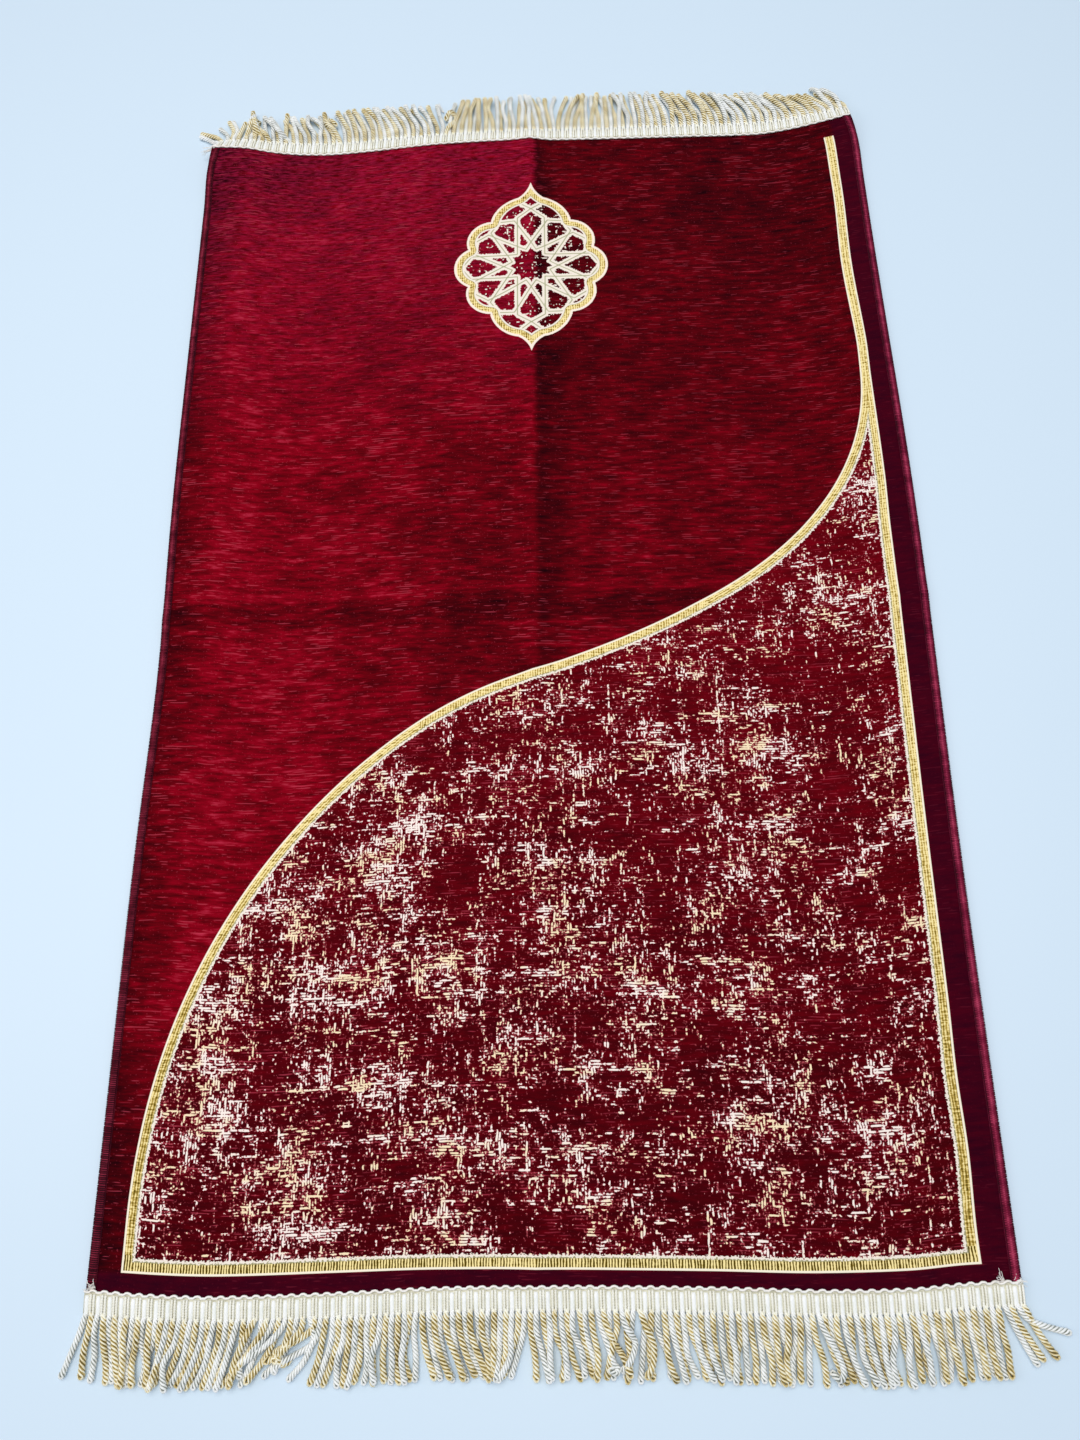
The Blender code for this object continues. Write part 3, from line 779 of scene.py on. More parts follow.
# The design is laid over the pile line by line, each from the distance at which it takes over.
surface = pile_colour
for distance, start, end, over in (
    # distance from a line in mm, where the next colour starts and is full, that colour
    (inside, -half - 0.3, -half, linear("#fff4dc")),
    (inside, -half + 1.2, -half + 1.5, gold_of["band"]),
    (inside, 2.2, 2.5, olive),
    (ragged_inside, 3.0, 3.3, pale),
    (ragged_inside, half - SOFT_EDGE, half + SOFT_EDGE, ground),
    (depth_mm, -0.5, -0.1, linear("#ffeedd")),
    (depth_mm, 2.0, 2.4, gold_of["medallion"]),
    (depth_mm, 7.3, 7.6, olive),
    (depth_mm, 7.8, 8.1, pale),
    (depth_mm, 9.5, 9.8, lacing),
):
    share = add(tree, "MapRange", {0: distance, 1: start, 2: end})
    surface = add(tree, "Mix", {0: share, 6: surface, 7: over}, data_type="RGBA")

height = add(tree, "Math", {0: grain["pile"], 1: 0.6, 2: grain["fine_streak"]}, operation="MULTIPLY_ADD")
relief = add(tree, "Bump", {"Height": height, "Strength": 0.5, "Distance": 0.0007})
shader = add(
    tree,
    "BsdfPrincipled",
    {
        "Base Color": surface,
        "Roughness": 0.9,
        "Specular IOR Level": 0.04,
        "Sheen Weight": 0.22,
        "Sheen Roughness": 0.40,
        "Sheen Tint": linear("#b3123a"),
        "Normal": relief,
    },
)
add(tree, "OutputMaterial", {"Surface": shader})
mesh.materials.append(velvet)

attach(rug, "root")
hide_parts("rug_cloth")


# Overlocked sides. The long edges are oversewn with a dense row of crimson polyester yarn that goes over a
# soft core and round the cloth's cut edge. A needle thread holds the loops along their inner line.
BINDING_WIDE = 0.0078
BINDING_TALL = 0.0042
STITCH_PITCH = 0.0015
STITCH_YARN = 0.00062  # radius
STITCH_SLANT = 0.0011  # a loop leans this far along the edge on its way across
STITCH_SECTION = (
    # out, up, as shares of the binding's width and height
    (0.02, 0.76), (0.17, 0.90), (0.42, 0.98), (0.68, 0.94), (0.88, 0.74), (0.96, 0.46), (0.92, 0.20),
    (0.76, 0.16),
)
STITCH_SUNK = 0.0002  # into the core
STITCH_UNEVEN = 0.0002  # how far a loop may lie off its place
STITCH_PROUD = (0.96, 1.05)  # how high it stands, as a share
INNER_SHADE = 2.6  # how fast the painted shade at a loop's inner line fades over the binding's width
TURNS_DOWN = 0.52  # from this share of the width on it turns down round the edge
OUTER_SHADE = 2.8  # and darkens this fast with painted shade
TICK_SHADE = 0.7  # on the outer half of the loops that show dark
DULL_REACH = 0.45  # from the rug's middle to where the near loops are dullest
CORE_FOOT = (0.02, 0.10)
CORE_INSET = 0.0005
CORE_ROWS = 150
NEEDLE_YARN = 0.00038
NEEDLE_SECTION = ((0.02, 0.80), (-0.03, 0.77))  # out and up, by turns
# The needle thread carries the painted shade of the loops' inner line.
NEEDLE_SHADE = 0.7
GROOVE_FROM = 1.00  # painted shade darkens a winding yarn inwards from this share of its reach
GROOVE_DEEP = 0.24


def new_parts():
    """Empty lists that a mesh is gathered in: points, how much painted shade each carries, faces, UV corners.
    """
    return {"points": [], "groove": [], "faces": [], "flat": []}


def sweep(parts, path, radius, sides, axis=None, shade=0.0):
    """Adds a closed round yarn along a path. The UV map runs once round it, and along it in metres.

    Its shade is how much painted shade it carries, stored as its groove. A yarn that winds round an axis gets
    painted shade towards that as well, by as much as its shade lets it.
    """
    first = len(parts["points"])
    parts["groove"] += [0.0] * (first - len(parts["groove"]))
    last = len(path) - 1
    normal = None
    lengths = [0.0]
    for number, point in enumerate(path):
        ahead = (path[min(number + 1, last)] - path[max(number - 1, 0)]).normalized()
        if axis:
            normal = point - axis[number]
        elif normal is None:
            normal = ahead.orthogonal()
        normal = (normal - ahead * normal.dot(ahead)).normalized()
        beside = ahead.cross(normal)
        thick = radius[number] if isinstance(radius, list) else radius
        dark = shade[number] if isinstance(shade, list) else shade
        for corner in range(sides):
            angle = 2 * math.pi * corner / sides
            place = point + (normal * math.cos(angle) + beside * math.sin(angle)) * thick
            parts["points"].append(place)
            if axis:
                reach = (place - axis[number]).length / ((point - axis[number]).length + thick)
                parts["groove"].append(dark * clamped((GROOVE_FROM - reach) / GROOVE_DEEP))
            else:
                parts["groove"].append(dark)
        if number:
            lengths.append(lengths[-1] + (point - path[number - 1]).length)
    for ring in range(last):
        for corner in range(sides):
            here = first + ring * sides + corner
            after = first + ring * sides + (corner + 1) % sides
            parts["faces"].append((here, after, after + sides, here + sides))
            low, high = corner / sides, (corner + 1) / sides
            parts["flat"] += [low, lengths[ring], high, lengths[ring]]
            parts["flat"] += [high, lengths[ring + 1], low, lengths[ring + 1]]
    for ring, turn in ((0, -1), (last, 1)):
        rim = [first + ring * sides + corner for corner in range(sides)][::turn]
        parts["faces"].append(tuple(rim))
        parts["flat"] += [0.5, lengths[ring]] * sides


def join_rings(parts, rings, count, way, flat):
    """Adds the faces between rings of points and over both ends. They look outwards by way, 1 or -1."""
    for here, after in zip(rings, rings[1:]):
        for corner in range(count):
            following = (corner + 1) % count
            face = (here + corner, here + following, after + following, after + corner)
            parts["faces"].append(face[::way])
            parts["flat"] += flat
    for ring, turn in ((rings[0], -1), (rings[-1], 1)):
        parts["faces"].append(tuple(range(ring, ring + count))[:: turn * way])
        parts["flat"] += [0.5, 0.0] * count


def gathered(parts, name, material):
    """Makes the named object out of gathered lists."""
    made = bpy.data.meshes.new(name)
    made.from_pydata(parts["points"], [], parts["faces"])
    made.uv_layers.new(name="flat").uv.foreach_set("vector", parts["flat"])
    grooves = parts["groove"] + [0.0] * (len(parts["points"]) - len(parts["groove"]))
    made.attributes.new("groove", "FLOAT", "POINT").data.foreach_set("value", grooves)
    made.shade_smooth()
    made.materials.append(material)
    thing = bpy.data.objects.new(name, made)
    bpy.context.scene.collection.objects.link(thing)
    return thing


def yarn_material(name, deep, dark, light, roughness, shine, crown=0.08):
    """Spun yarn: fibres run along it in fine lighter and darker lines, and painted shade darkens it by its
    groove.

    It keeps its light tone down to the depth that crown gives, which on the cords is a painted highlight.
    """
    made, tree = new_material(name)
    turns = add(tree, "UVMap", uv_map="flat")
    fibre_place = add(tree, "VectorMath", {0: turns, 1: (9.0, 260.0, 0.0)}, operation="MULTIPLY")
    settings = {"Vector": fibre_place, "Scale": 1.0, "Detail": 2.0}
    fibres = add(tree, "TexNoise", settings, noise_dimensions="2D")
    spot = add(tree, "TexCoord").node.outputs["Object"]
    lumps = add(tree, "TexNoise", {"Vector": spot, "Scale": 95.0, "Detail": 2.0})
    tone = add(tree, "Math", {0: lumps, 1: 0.7, 2: -0.35}, operation="MULTIPLY_ADD")
    tone = add(tree, "Math", {0: fibres, 1: 0.8, 2: tone}, operation="MULTIPLY_ADD")
    dulled = add(tree, "MapRange", {0: tone, 1: 0.58, 2: 0.22, 3: 0.0, 4: 0.45})
    groove = add(tree, "Attribute", attribute_name="groove").node.outputs["Fac"]
    depth = add(tree, "Math", {0: groove, 1: 0.85, 2: dulled}, operation="MULTIPLY_ADD")
    stops = ((crown, light), (crown * 0.86 + 0.38, dark), (0.95, deep))
    colour = add(tree, "ValToRGB", {0: depth}, stops=stops)
    relief = add(tree, "Bump", {"Height": fibres, "Strength": 0.4, "Distance": 0.0002})
    shader = add(
        tree,
        "BsdfPrincipled",
        {
            "Base Color": colour,
            "Roughness": roughness,
            "Specular IOR Level": shine,
            "Sheen Weight": 0.15,
            "Sheen Tint": linear(light),
            "Normal": relief,
        },
    )
    add(tree, "OutputMaterial", {"Surface": shader})
    return made


def binding_point(side_line, inward, along, out, up, inset=0.0):
    """A place on a binding: along the side, outwards over its width, and up over its height."""
    outer = side_line(along) + inward * inset
    inner = side_line(along) + inward * (BINDING_WIDE - inset)
    low = cloth_lift(inner, min(along, far_end(inner)))
    across = inner + (outer - inner) * out
    return Vector((across, along, low + inset + (BINDING_TALL - 2 * inset) * up))


# Overlock yarn: textured polyester, dull. Painted shade darkens each loop at its inner line and where it
# turns down round the edge, which leaves a painted highlight along its crown.
SIDES = (
    # name, its outer line, which way the cloth lies, its yarn from deep painted shade to light, the share of
    # loops that show dark, how much duller it is towards the near end
    ("binding_left", left_side, 1, ("#2c0210", "#6a0f25", "#b03a54"), 0.14, 0.8),
    ("binding_right", right_side, -1, ("#3a0818", "#7c1436", "#c24668"), 0.05, 0.0),
)
for name, side_line, inward, tones, ticked, dulled_near in SIDES:
    parts = new_parts()
    start, end = near_end(side_line(NEAR_ABOUT)), far_end(side_line(FAR_ABOUT))
    rings = []
    for number in range(CORE_ROWS + 1):
        along = start + (end - start) * number / CORE_ROWS
        rings.append(len(parts["points"]))
        for out, up in (*STITCH_SECTION, CORE_FOOT):
            parts["points"].append(binding_point(side_line, inward, along, out, up, CORE_INSET))
    join_rings(parts, rings, len(STITCH_SECTION) + 1, inward, [0.5, 0.0] * 4)

    stitches = int((end - start) / STITCH_PITCH)
    uneven = random.Random(name)
    for number in range(stitches):
        along = start + (end - start) * (number + 0.5) / stitches
        along += uneven.uniform(-STITCH_UNEVEN, STITCH_UNEVEN)
        proud = uneven.uniform(*STITCH_PROUD)
        tick = uneven.random() < ticked
        dull = dulled_near * clamped(-along / DULL_REACH)
        path, shade = [], []
        for step, (out, up) in enumerate(STITCH_SECTION):
            lean = STITCH_SLANT * (step / len(STITCH_SECTION) - 0.5)
            place = min(max(along + lean, start), end)
            path.append(binding_point(side_line, inward, place, out, up * proud, STITCH_SUNK))
            # Painted shade at the inner line and round the turned-down edge, dark loops here and there,
            # duller near the end.
            turned_down = (out - TURNS_DOWN) * OUTER_SHADE
            ticked_here = TICK_SHADE * (tick and out > 0.5)
            shade.append(min(max(1.0 - INNER_SHADE * out, turned_down, ticked_here, dull), 1.0))
        sweep(parts, path, STITCH_YARN, 4, shade=shade)
    needle = []
    for number in range(2 * stitches + 1):
        along = start + (end - start) * number / (2 * stitches)
        needle.append(binding_point(side_line, inward, along, *NEEDLE_SECTION[number % 2]))
    sweep(parts, needle, NEEDLE_YARN, 4, shade=NEEDLE_SHADE)

    polyester = yarn_material("overlock_polyester_" + name, *tones, 0.75, 0.10)
    binding = gathered(parts, name + "_stitches", polyester)
    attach(binding, "root")
    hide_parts(name)


# Fringe heading. Each end carries a bullion fringe, whose heading is a gimp braid sewn over the cloth's hem.
# A flat band of white rayon runs down to each white cord, and two beaded threads down to each gold one. A
# thicker white cord edges it all in scallops, one over each gold cord. It stands on a narrow woven tape.
HEADING_LONG = 0.0160
PAIRS = 78
WHITE_PLACE, GOLD_PLACE = 0.27, 0.77  # in shares of the pitch of the pairs
TAPE_SECTION = (
    # outwards from the cloth's end, up from where it lies
    (0.0002, 0.0030), (0.0002, 0.0036), (0.0066, 0.0036), (0.0110, 0.0030), (0.0158, 0.0024),
    (0.0158, 0.0010), (0.0110, 0.0014), (0.0070, 0.0030),
)
BAND_WIDE = 0.0033
BAND_TALL = 0.0012
BAND_SECTION = (
    # across, up
    (-0.50, 0.0), (-0.44, 0.72), (-0.20, 1.0), (0.20, 1.0), (0.44, 0.72), (0.50, 0.0),
)
BAND_WIDTHS = (0.80, 0.97, 1.0, 1.0, 1.0, 0.98, 0.92, 0.80)
BAND_STARTS = 0.0031
BAND_ENDS = HEADING_LONG + 0.0012
BAND_SUNK = 0.0002
BAND_SHIFT = 0.00015  # how far a band may lie off its place
THREAD_APART = 0.00112  # from the middle of a gold cord to the middle of each thread
THREAD_SPREAD = (0.95, 1.08)  # how this distance varies
THREAD_YARN = 0.00088
THREAD_PROUD = 0.9  # its middle above the tape, as a share of its radius
THREAD_STARTS = 0.0020
THREAD_ENDS = HEADING_LONG + 0.0004
THREAD_STEPS = 28
BEAD_LONG = 0.0018
BEAD_SHARE = 0.22  # of the thread's radius
EDGE_YARN = 0.00082
EDGE_CROWN = -0.0005  # outwards from the cloth's end, over a gold cord
EDGE_DIP = 0.0009  # and over a white one
EDGE_BUMP = 0.0026  # half as wide as a scallop
EDGE_STEPS = 12  # to each pair of cords
EDGE_PROUD = 0.8  # its middle above the tape, as a share of its radius
EDGE_RISE = 0.0004  # how much higher it is over a gold cord
EDGE_UNEVEN = 0.0001
ENDS = (
    # name, its line, which way is outwards
    ("near", near_end, -1),
    ("far", far_end, 1),
)


def heading_height(out):
    """How high the tape's top is at a place outwards."""
    rows = TAPE_SECTION[1:5]
    for (start, low), (end, high) in zip(rows, rows[1:]):
        if out <= end:
            return low + (high - low) * max((out - start) / (end - start), 0.0)
    return rows[-1][1]


def on_heading(end_line, outward, across, out, up):
    """A place on the heading: across the rug, outwards from the cloth's end, and up from where it lies."""
    along = end_line(across) + outward * out
    return Vector((across, along, end_lift(across, along) + up))


# Rayon gimp: bright, smooth filament yarn, white in the bands and the edge, cream in the threads. The tape
# under it is unbleached cotton, drawn a pale grey-olive that also stands for the painted shade between them.
tape_cotton_and_gap_shade = yarn_material("cotton_tape_and_painted_gap_shade", "#b2af97", "#cdcab4", "#e4e1cd", 0.9, 0.1)
white_rayon = yarn_material("white_rayon", "#9ba096", "#f2f4ee", "#ffffff", 0.5, 0.3)
cream_rayon = yarn_material("cream_rayon_gimp", "#b3ae8e", "#f4f0df", "#fffdf4", 0.5, 0.3)
edge_rayon = yarn_material("edge_rayon_gimp", "#c4b8a6", "#fbf2e8", "#fffefa", 0.5, 0.3)

pair_places = {}
for end_name, end_line, outward in ENDS:
    left = left_side(end_line(LEFT_SIDE))
    right = right_side(end_line(RIGHT_SIDE))
    pitch = (right - left) / PAIRS
    pair_places[end_name] = [
        (left + pitch * (pair + WHITE_PLACE), left + pitch * (pair + GOLD_PLACE)) for pair in range(PAIRS)
    ]
    uneven = random.Random("heading " + end_name)

    tape = new_parts()
    rings = []
    for number in range(2 * PAIRS + 1):
        across = left + pitch * number / 2
        rings.append(len(tape["points"]))
        tape["points"] += [on_heading(end_line, outward, across, out, up) for out, up in TAPE_SECTION]
    join_rings(tape, rings, len(TAPE_SECTION), outward, [0.3, 0.0, 0.6, 0.0, 0.6, 0.004, 0.3, 0.004])
    tape_piece = gathered(tape, "tape_" + end_name, tape_cotton_and_gap_shade)

    bands, threads, edge = new_parts(), new_parts(), new_parts()
    across_count = len(BAND_SECTION)
    strips, rows = across_count - 1, len(BAND_WIDTHS) - 1
    steps = [BAND_STARTS + (BAND_ENDS - BAND_STARTS) * row / rows for row in range(rows + 1)]
    for white, gold in pair_places[end_name]:
        shift = uneven.uniform(-BAND_SHIFT, BAND_SHIFT)
        first = len(bands["points"])
        for out, narrow in zip(steps, BAND_WIDTHS):
            for beside, up in BAND_SECTION:
                across = white + shift + beside * BAND_WIDE * narrow
                height = heading_height(out) - BAND_SUNK + BAND_TALL * up
                bands["points"].append(on_heading(end_line, outward, across, out, height))
        for ring in range(rows):
            for corner in range(strips):
                here = first + ring * across_count + corner
                face = (here, here + 1, here + 1 + across_count, here + across_count)
                bands["faces"].append(face[::outward])
                low, high = corner / strips, (corner + 1) / strips
                bands["flat"] += [low, steps[ring], high, steps[ring]]
                bands["flat"] += [high, steps[ring + 1], low, steps[ring + 1]]
        for ring, turn in ((0, -1), (rows, 1)):
            rim = tuple(range(first + ring * across_count, first + (ring + 1) * across_count))
            bands["faces"].append(rim[:: turn * outward])
            bands["flat"] += [0.5, 0.0] * across_count
        low_left = [first + ring * across_count for ring in range(len(steps))]
        low_right = [corner + across_count - 1 for corner in reversed(low_left)]
        bands["faces"].append(tuple(low_left + low_right)[::-outward])
        bands["flat"] += [0.5, 0.0] * (2 * len(steps))

        for side in (-1, 1):
            apart = THREAD_APART * side * uneven.uniform(*THREAD_SPREAD)
            phase = uneven.uniform(0.0, 6.28)
            path, thick = [], []
            for step in range(THREAD_STEPS + 1):
                out = THREAD_STARTS + (THREAD_ENDS - THREAD_STARTS) * step / THREAD_STEPS
                height = heading_height(out) + THREAD_YARN * THREAD_PROUD
                path.append(on_heading(end_line, outward, gold + apart, out, height))
                bead = math.sin(2 * math.pi * out / BEAD_LONG + phase)
                thick.append(THREAD_YARN * (1.0 + BEAD_SHARE * bead))
            sweep(threads, path, thick, 5)

    path = []
    for number in range(PAIRS * EDGE_STEPS + 1):
        across = left + pitch * number / EDGE_STEPS
        from_gold = abs((number / EDGE_STEPS - GOLD_PLACE + 0.5) % 1.0 - 0.5) * pitch
        crown = max(1.0 - (from_gold / EDGE_BUMP) ** 2, 0.0) ** 0.5
        out = EDGE_DIP + (EDGE_CROWN - EDGE_DIP) * crown + uneven.uniform(-EDGE_UNEVEN, EDGE_UNEVEN)
        height = heading_height(out) + EDGE_YARN * EDGE_PROUD + EDGE_RISE * crown
        path.append(on_heading(end_line, outward, across, out, height))
    sweep(edge, path, EDGE_YARN, 6)

    band_piece = gathered(bands, "heading_bands_" + end_name, white_rayon)
    thread_piece = gathered(threads, "heading_threads_" + end_name, cream_rayon)
    edge_piece = gathered(edge, "heading_edge_" + end_name, edge_rayon)
    for piece in (tape_piece, band_piece, thread_piece, edge_piece):
        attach(piece, "root")
        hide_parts("fringe_" + end_name)


# Bullion cords. Each cord is a pair of soft rayon yarns, twisted on itself and doubled back, so four strands
# wind round each other and meet in small closed loops at the tip. White and gold ones take turns along the
# heading, and they lie as they fell: leaning in groups, some across their neighbours, a few curled back.
CORD_LONG = 0.0440
LENGTH_SPREAD = 0.0016
STRAND = 0.00100  # radius of one strand
WIND = 0.00139  # from the cord's middle to the middle of a strand
GOLD_FULLER = 1.08  # the gold cords are thicker by this
LEAD = 0.0112  # along the cord for one full turn
LEAD_SPREAD = (0.94, 1.06)  # how this varies from cord to cord
CORD_STEPS = 42
STRAND_SIDES = 5
ROOT_THIN = 0.70  # how thick a cord is at its root, as a share
ROOT_GROWS = 5  # steps until it has its full one
PRESSED = 0.0043  # two cords whose middles come closer than this lie one on the other
TABLE_REST = (STRAND + WIND) * GOLD_FULLER  # height of a cord's middle where it lies on the table
TIP_OPENS = 0.0042  # the loops start to open this far from the tip
TIP_WIDER = 0.35  # and are wider by this share there
LOOP_LONG = 1.1  # as a share of half a loop's width
LOOP_ANGLES = (0.5, 1.05, 1.57, 2.09, 2.64)
LOOP_THIN = 0.95
# Painted shade between the strands where they loop round at the tip, as a share.
LOOP_SHADE = 0.5
ROOT_TUCK = 0.0016  # a cord's root lies this far under the end of its band or threads
ROOT_STEPS = 4  # along which a cord carries no other
FALLS_BY = 0.3  # the share of its length by which a cord has come down to the table
LEAN_SPREAD = 0.0018
BENDS = (
    # a cord's lean and reach a third and two thirds along it, as shares, and how far it strays there
    (0.10, 0.34, 0.0008),
    (0.48, 0.68, 0.0016),
)
SHORTEST_REACH = 0.5  # of a cord's length
TURNS_CHANGE = 14  # after this many cords, the even ones lie over the odd ones or the other way round
SLACK_ROUNDS = 10  # times that the line of a cord over another one is eased
LEANS = {
    "near": (
        # across, how far the tip lies to the right of the root, in mm
        (-346, -7), (-336, 7), (-318, 6), (-305, 2), (-295, 3), (-284, -6), (-270, -9), (-250, -11),
        (-233, -12), (-214, -14), (-200, -19), (-183, -19), (-172, -7), (-157, -7), (-146, -4),
        (-128, -2), (-110, 3), (-99, 1), (-88, 10), (-77, 10), (-64, 12), (-51, 7), (-33, -6),
        (-20, -9), (-13, 7), (-4, 4), (25, 8), (39, 5), (57, -2), (68, -6), (77, 5), (100, 8), (122, 3),
        (140, 2), (156, 7), (175, -2), (183, -2), (190, 9), (203, 6), (214, 8), (235, 4), (244, 2),
        (302, 3), (319, 4), (328, 9), (340, 20),
    ),
    "far": (
        # across, lean
        (-338, -24), (-327, -12), (-312, 4), (-289, -6), (-248, -12), (-184, -13), (-108, -16),
        (-97, -8), (-91, 4), (-70, 7), (-44, -3), (-4, -1), (14, -10), (26, 4), (32, 12), (60, 3),
        (86, -4), (116, -8), (166, -14), (211, -18), (296, -23), (337, -20),
    ),
}
SHORTER = {
    # across, how much shorter the cords are there, in mm
    "near": ((-345, 0), (345, 0)),
    "far": ((-345, 6), (-290, 7), (-240, 6), (-180, 0), (250, 0), (290, 9), (345, 10)),
}
STRAYS = {
    "near": {
        # colour, number: the cord's places after its root, across and outwards from it, in mm
        ("white", 0): ((-3, 13), (-8, 27), (-13, 41)),
        ("gold", 0): ((-1, 12), (-3, 25), (-3, 41)),
        ("white", 1): ((-1, 14), (1, 28), (0, 43)),
        ("gold", 1): ((2, 12), (5, 27), (7, 44)),
        ("gold", 14): ((-4, 9), (-12, 27), (-15, 42)),
        ("gold", 15): ((-3, 10), (-10, 20), (-19, 32), (-23, 38)),
        ("white", 16): ((-2, 8), (-12, 20), (-21, 28), (-22, 34)),
        ("white", 17): ((-1, 6), (-9, 15), (-23, 25), (-31, 31), (-30, 37)),
        ("gold", 17): ((0, 9), (-3, 18), (-7, 25), (-4, 30), (0, 28)),
        ("white", 19): ((3, 7), (4, 16), (-2, 29), (-12, 40)),
        ("white", 20): ((-1, 11), (-6, 19), (-17, 25), (-29, 31), (-31, 35)),
        ("gold", 18): ((-1, 9), (-9, 18), (-17, 25), (-24, 28)),
        ("gold", 19): ((-1, 8), (-9, 14), (-20, 19), (-28, 24), (-26, 28)),
        ("white", 43): ((3, 12), (8, 25), (11, 34), (14, 37), (13, 40), (9, 38)),
        ("gold", 43): ((2, 10), (8, 22), (14, 31), (18, 40)),
        ("gold", 44): ((1, 12), (-3, 24), (-7, 43)),
        ("white", 45): ((2, 9), (9, 20), (6, 30), (0, 38)),
        ("gold", 46): ((4, 11), (9, 22), (8, 34), (4, 42)),
        ("white", 61): ((3, 11), (9, 22), (13, 34), (11, 41), (7, 38)),
        ("gold", 76): ((4, 12), (11, 24), (17, 34)),
        ("white", 76): ((5, 13), (11, 26), (17, 37)),
        ("white", 77): ((6, 9), (17, 14), (33, 18)),
        ("gold", 77): ((5, 12), (11, 23), (18, 33)),
    },
    "far": {
        ("white", 0): ((-5, 4), (-12, 9), (-21, 14)),
        ("gold", 0): ((-3, 6), (-9, 12), (-24, 17)),
        ("white", 1): ((0, 10), (-3, 16), (-9, 22)),
        ("gold", 1): ((1, 10), (1, 19), (-4, 30)),
        ("white", 2): ((-2, 6), (1, 18), (-4, 30)),
        ("gold", 2): ((-1, 7), (1, 16), (5, 27)),
        ("white", 3): ((2, 7), (6, 16), (13, 29)),
        ("gold", 5): ((-1, 8), (-6, 16), (-9, 27)),
        ("white", 5): ((1, 6), (0, 14), (-5, 26)),
        ("gold", 6): ((-2, 6), (-9, 16), (-17, 27)),
        ("gold", 3): ((-1, 7), (3, 15), (11, 28)),
        ("gold", 8): ((-1, 10), (-1, 22), (1, 35)),
        ("white", 9): ((-1, 6), (-13, 16), (-18, 27)),
        ("gold", 15): ((-3, 8), (-10, 19), (-16, 26), (-12, 30), (-7, 26)),
        ("gold", 28): ((3, 8), (8, 16), (11, 26), (5, 30), (1, 24)),
        ("gold", 29): ((1, 12), (6, 28), (10, 44)),
        ("white", 76): ((-4, 11), (-12, 24), (-19, 35)),
    },
}

# Rayon bullion yarn: soft filaments with a mild shine, fuller than the threads above, white and honey gold.
# Each strand's crown is a painted highlight, and painted shade darkens it where the strands wind together.
CROWN = 0.28  # the painted highlight on its strands reaches down to this depth
white_bullion = yarn_material("white_bullion_rayon", "#8b9087", "#eceee8", "#ffffff", 0.42, 0.5, CROWN)
gold_bullion = yarn_material("gold_bullion_rayon", "#6c581c", "#dcc27a", "#fffdea", 0.42, 0.5, CROWN)


def through(points, steps):
    """A smooth line through points, as places that lie equally far apart."""
    fine = [points[0]]
    for number, (start, end) in enumerate(zip(points, points[1:])):
        before = points[max(number - 1, 0)]
        after = points[min(number + 2, len(points) - 1)]
        leaving, coming = start + (end - before) / 6, end - (after - start) / 6
        fine += geometry.interpolate_bezier(start, leaving, coming, end, 12)[1:]
    lengths = [0.0]
    for here, after in zip(fine, fine[1:]):
        lengths.append(lengths[-1] + (after - here).length)
    places = []
    for step in range(steps + 1):
        length = lengths[-1] * step / steps
        after = min(max(bisect.bisect_left(lengths, length), 1), len(fine) - 1)
        share = (length - lengths[after - 1]) / (lengths[after] - lengths[after - 1])
        places.append(fine[after - 1].lerp(fine[after], share))
    return places


def cord(parts, middle, lead, fuller):
    """Four strands round a cord's middle line: two doubled yarns, each with its loop at the tip."""
    last = len(middle) - 1
    long = sum((after - here).length for here, after in zip(middle, middle[1:]))
    quarter_turns = round(4 * long / lead)
    grown = [min(number / ROOT_GROWS, 1.0) for number in range(last + 1)]
    for turned in (0.25, 0.75):
        strands = ([], [])
        for number, place in enumerate(middle):
            ahead = (middle[min(number + 1, last)] - middle[max(number - 1, 0)]).normalized()
            up = (Vector((0, 0, 1)) - ahead * ahead.z).normalized()
            beside = up.cross(ahead)
            phase = math.pi * (turned + quarter_turns / 2 * number / last)
            opened = max(1.0 - (last - number) / last * long / TIP_OPENS, 0.0)
            wind = up * math.cos(phase) + beside * math.sin(phase) * (1.0 + TIP_WIDER * opened)
            wind *= WIND * fuller * (ROOT_THIN + (1.0 - ROOT_THIN) * grown[number])
            strands[0].append(place + wind)
            strands[1].append(place - wind)
        out = (strands[0][-1] - strands[1][-1]) / 2
        bend = [
            middle[-1] + out * math.cos(angle) + ahead * (out.length * LOOP_LONG * math.sin(angle))
            for angle in LOOP_ANGLES
        ]
        axis = middle + [middle[-1]] * len(bend) + middle[::-1]
        thick = [STRAND * fuller * (ROOT_THIN + (1.0 - ROOT_THIN) * share) for share in grown]
        thick += [STRAND * fuller * LOOP_THIN] * len(bend) + thick[::-1]
        shade = grown + [LOOP_SHADE] * len(bend) + grown[::-1]
        sweep(parts, strands[0] + bend + strands[1][::-1], thick, STRAND_SIDES, axis=axis, shade=shade)


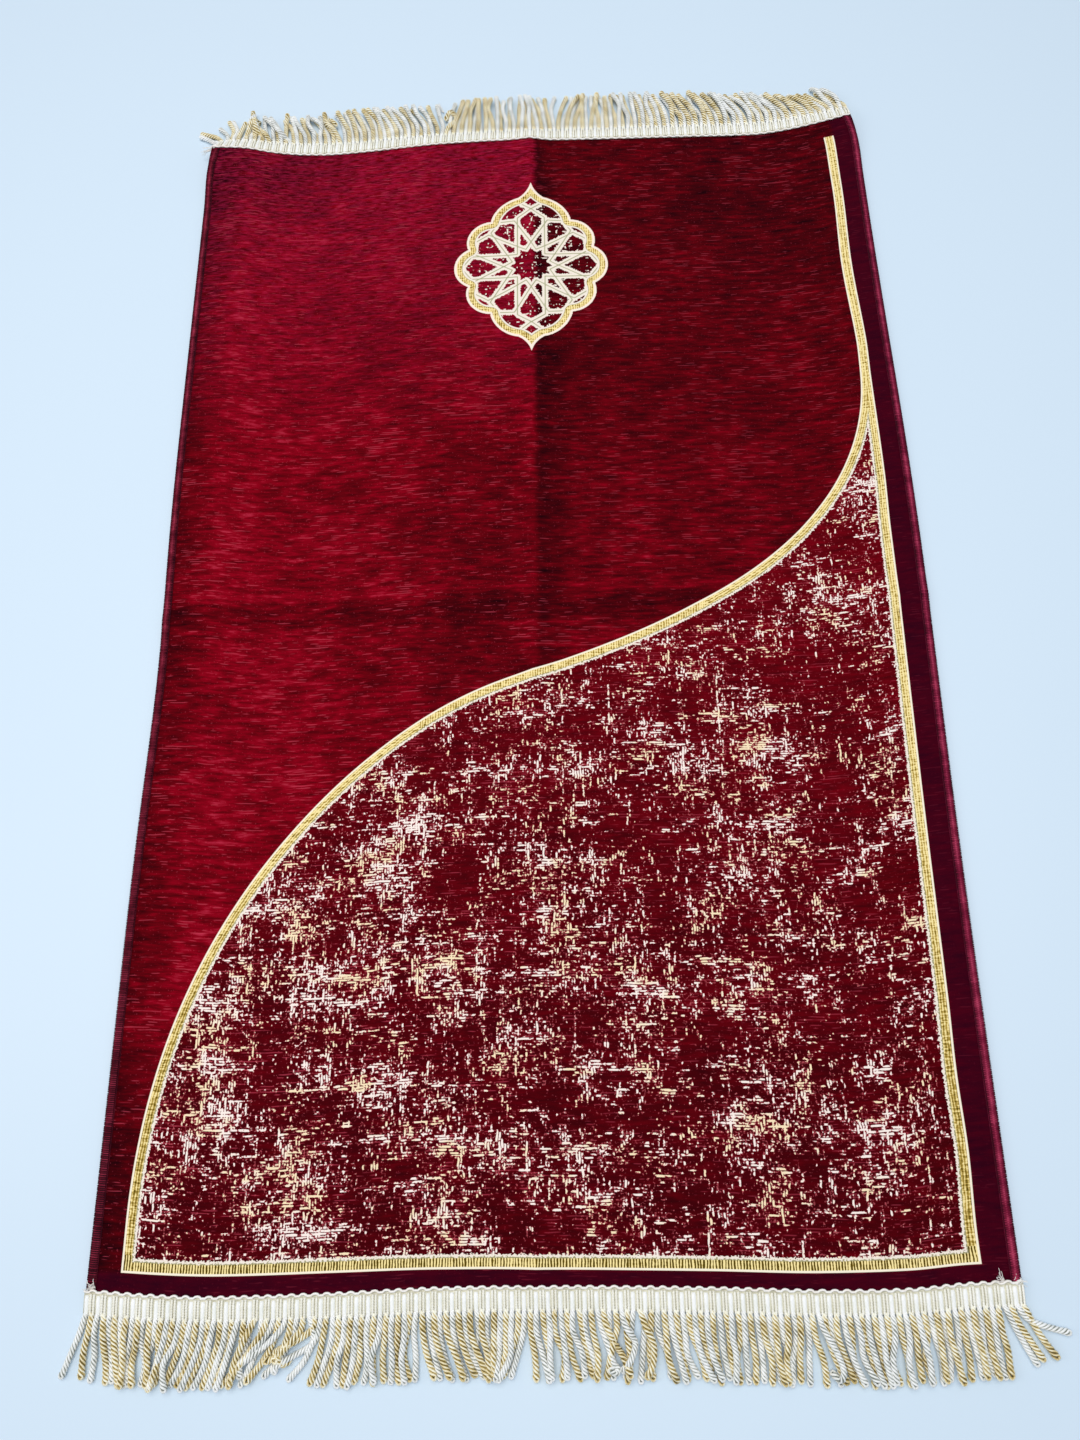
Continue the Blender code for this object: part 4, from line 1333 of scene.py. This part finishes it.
for end_name, end_line, outward in ENDS:
    uneven = random.Random("cords " + end_name)
    cords = {"white": new_parts(), "gold": new_parts()}
    roots = [
        (colour, number, across)
        for number, pair in enumerate(pair_places[end_name])
        for colour, across in zip(("white", "gold"), pair)
    ]
    plans = []
    for place, (colour, number, across) in enumerate(roots):
        stray = STRAYS[end_name].get((colour, number))
        lean = table_at(LEANS[end_name], across * 1000.0, 1) / 1000.0 + uneven.gauss(0.0, LEAN_SPREAD)
        long = CORD_LONG + LENGTH_SPREAD * uneven.uniform(-1.0, 1.0)
        long -= table_at(SHORTER[end_name], across * 1000.0, 1) / 1000.0
        reach = math.sqrt(max(long**2 - lean**2, (long * SHORTEST_REACH) ** 2))
        offsets = [(lean * leant + uneven.gauss(0.0, spread), reach * gone) for leant, gone, spread in BENDS]
        offsets.append((lean, reach))
        if stray:
            offsets = [(beside / 1000.0, out / 1000.0) for beside, out in stray]
        first = HEADING_LONG - ROOT_TUCK
        root = Vector((across, end_line(across) + outward * first, 0.0))
        points = [root] + [root + Vector((beside, outward * out, 0.0)) for beside, out in offsets]
        turn = 2 if stray else (place + place // TURNS_CHANGE) % 2
        plans.append((turn, place, colour, through(points, CORD_STEPS)))

    # Every other cord is laid first, the rest over those, and the strays over all.
    lying = []
    for turn in (0, 1, 2):
        below = kdtree.KDTree(max(len(lying), 1))
        for number, place in enumerate(lying):
            below.insert((place.x, place.y, 0.0), number)
        below.balance()
        for _, place, colour, middle in [plan for plan in plans if plan[0] == turn]:
            across = middle[0].x
            start_height = end_lift(across, middle[0].y) + heading_height(HEADING_LONG)
            heights = []
            for step, spot in enumerate(middle):
                height = TABLE_REST
                if lying:
                    for _, number, apart in below.find_range((spot.x, spot.y, 0.0), PRESSED):
                        height = max(height, lying[number].z + math.sqrt(PRESSED**2 - apart**2))
                fallen = min(step / CORD_STEPS / FALLS_BY, 1.0)
                fallen = fallen * fallen * (3 - 2 * fallen)
                heights.append(start_height + (height - start_height) * fallen)
            for _ in range(SLACK_ROUNDS):
                heights[1:-1] = [
                    max(here, (before + after) / 2) * 0.5 + (before + after) * 0.25
                    for before, here, after in zip(heights, heights[1:], heights[2:])
                ]
            for spot, height in zip(middle, heights):
                spot.z = height
            fuller = GOLD_FULLER if colour == "gold" else 1.0
            cord(cords[colour], middle, LEAD * fuller * uneven.uniform(*LEAD_SPREAD), fuller)
        lying += [spot for plan in plans if plan[0] == turn for spot in plan[3][ROOT_STEPS:]]
    for colour, material in (("white", white_bullion), ("gold", gold_bullion)):
        piece = gathered(cords[colour], f"cords_{colour}_{end_name}", material)
        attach(piece, "root")
        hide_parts("fringe_" + end_name)


# Loose ends. Where the fringe was cut off at the corners its cords have come undone into fine crinkled
# filaments, which stand up in small tufts.
TUFTS = (
    # end, its place, which way the filaments lean, in mm, and how many there are
    ("near", (-338.9, -540.0, 4.2), (-4.0, 1.0, 1.5), 16),
    ("near", (325.0, -540.0, 4.2), (-3.5, 3.5, 1.5), 12),
    ("near", (332.5, -541.0, 4.0), (4.0, 1.5, 1.5), 10),
    ("far", (-335.0, 541.0, 15.0), (-13.0, -1.0, -4.0), 12),
    ("far", (-332.0, 543.0, 14.0), (-9.0, 7.0, -3.0), 9),
    ("far", (-74.0, 590.0, 2.0), (2.0, 9.0, 2.0), 9),
    ("far", (-94.0, 585.0, 2.0), (-5.0, 8.0, 1.0), 8),
)
FILAMENT = 0.00022
FILAMENT_SPREAD = 0.0022
FILAMENT_POINTS = 5
FILAMENT_STEPS = 10
FILAMENT_LOWEST = 1.2  # its middle above the table, as a share of its radius
CRINKLE = 0.0005

for end_name in ("near", "far"):
    uneven = random.Random("tufts " + end_name)
    parts = new_parts()
    for _, start, lean, count in [tuft for tuft in TUFTS if tuft[0] == end_name]:
        foot, lean = Vector(start) / 1000.0, Vector(lean) / 1000.0
        for _ in range(count):
            stray = Vector([uneven.gauss(0.0, FILAMENT_SPREAD) for _ in range(3)])
            points = []
            for number in range(FILAMENT_POINTS):
                share = number / (FILAMENT_POINTS - 1)
                spot = foot + lean * share + stray * share
                spot += Vector([uneven.gauss(0.0, CRINKLE) for _ in range(3)])
                spot.z = max(spot.z, FILAMENT * FILAMENT_LOWEST)
                points.append(spot)
            sweep(parts, through(points, FILAMENT_STEPS), FILAMENT, 4)
    tufts = gathered(parts, "loose_ends_" + end_name, edge_rayon)
    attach(tufts, "root")
    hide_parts("fringe_" + end_name)
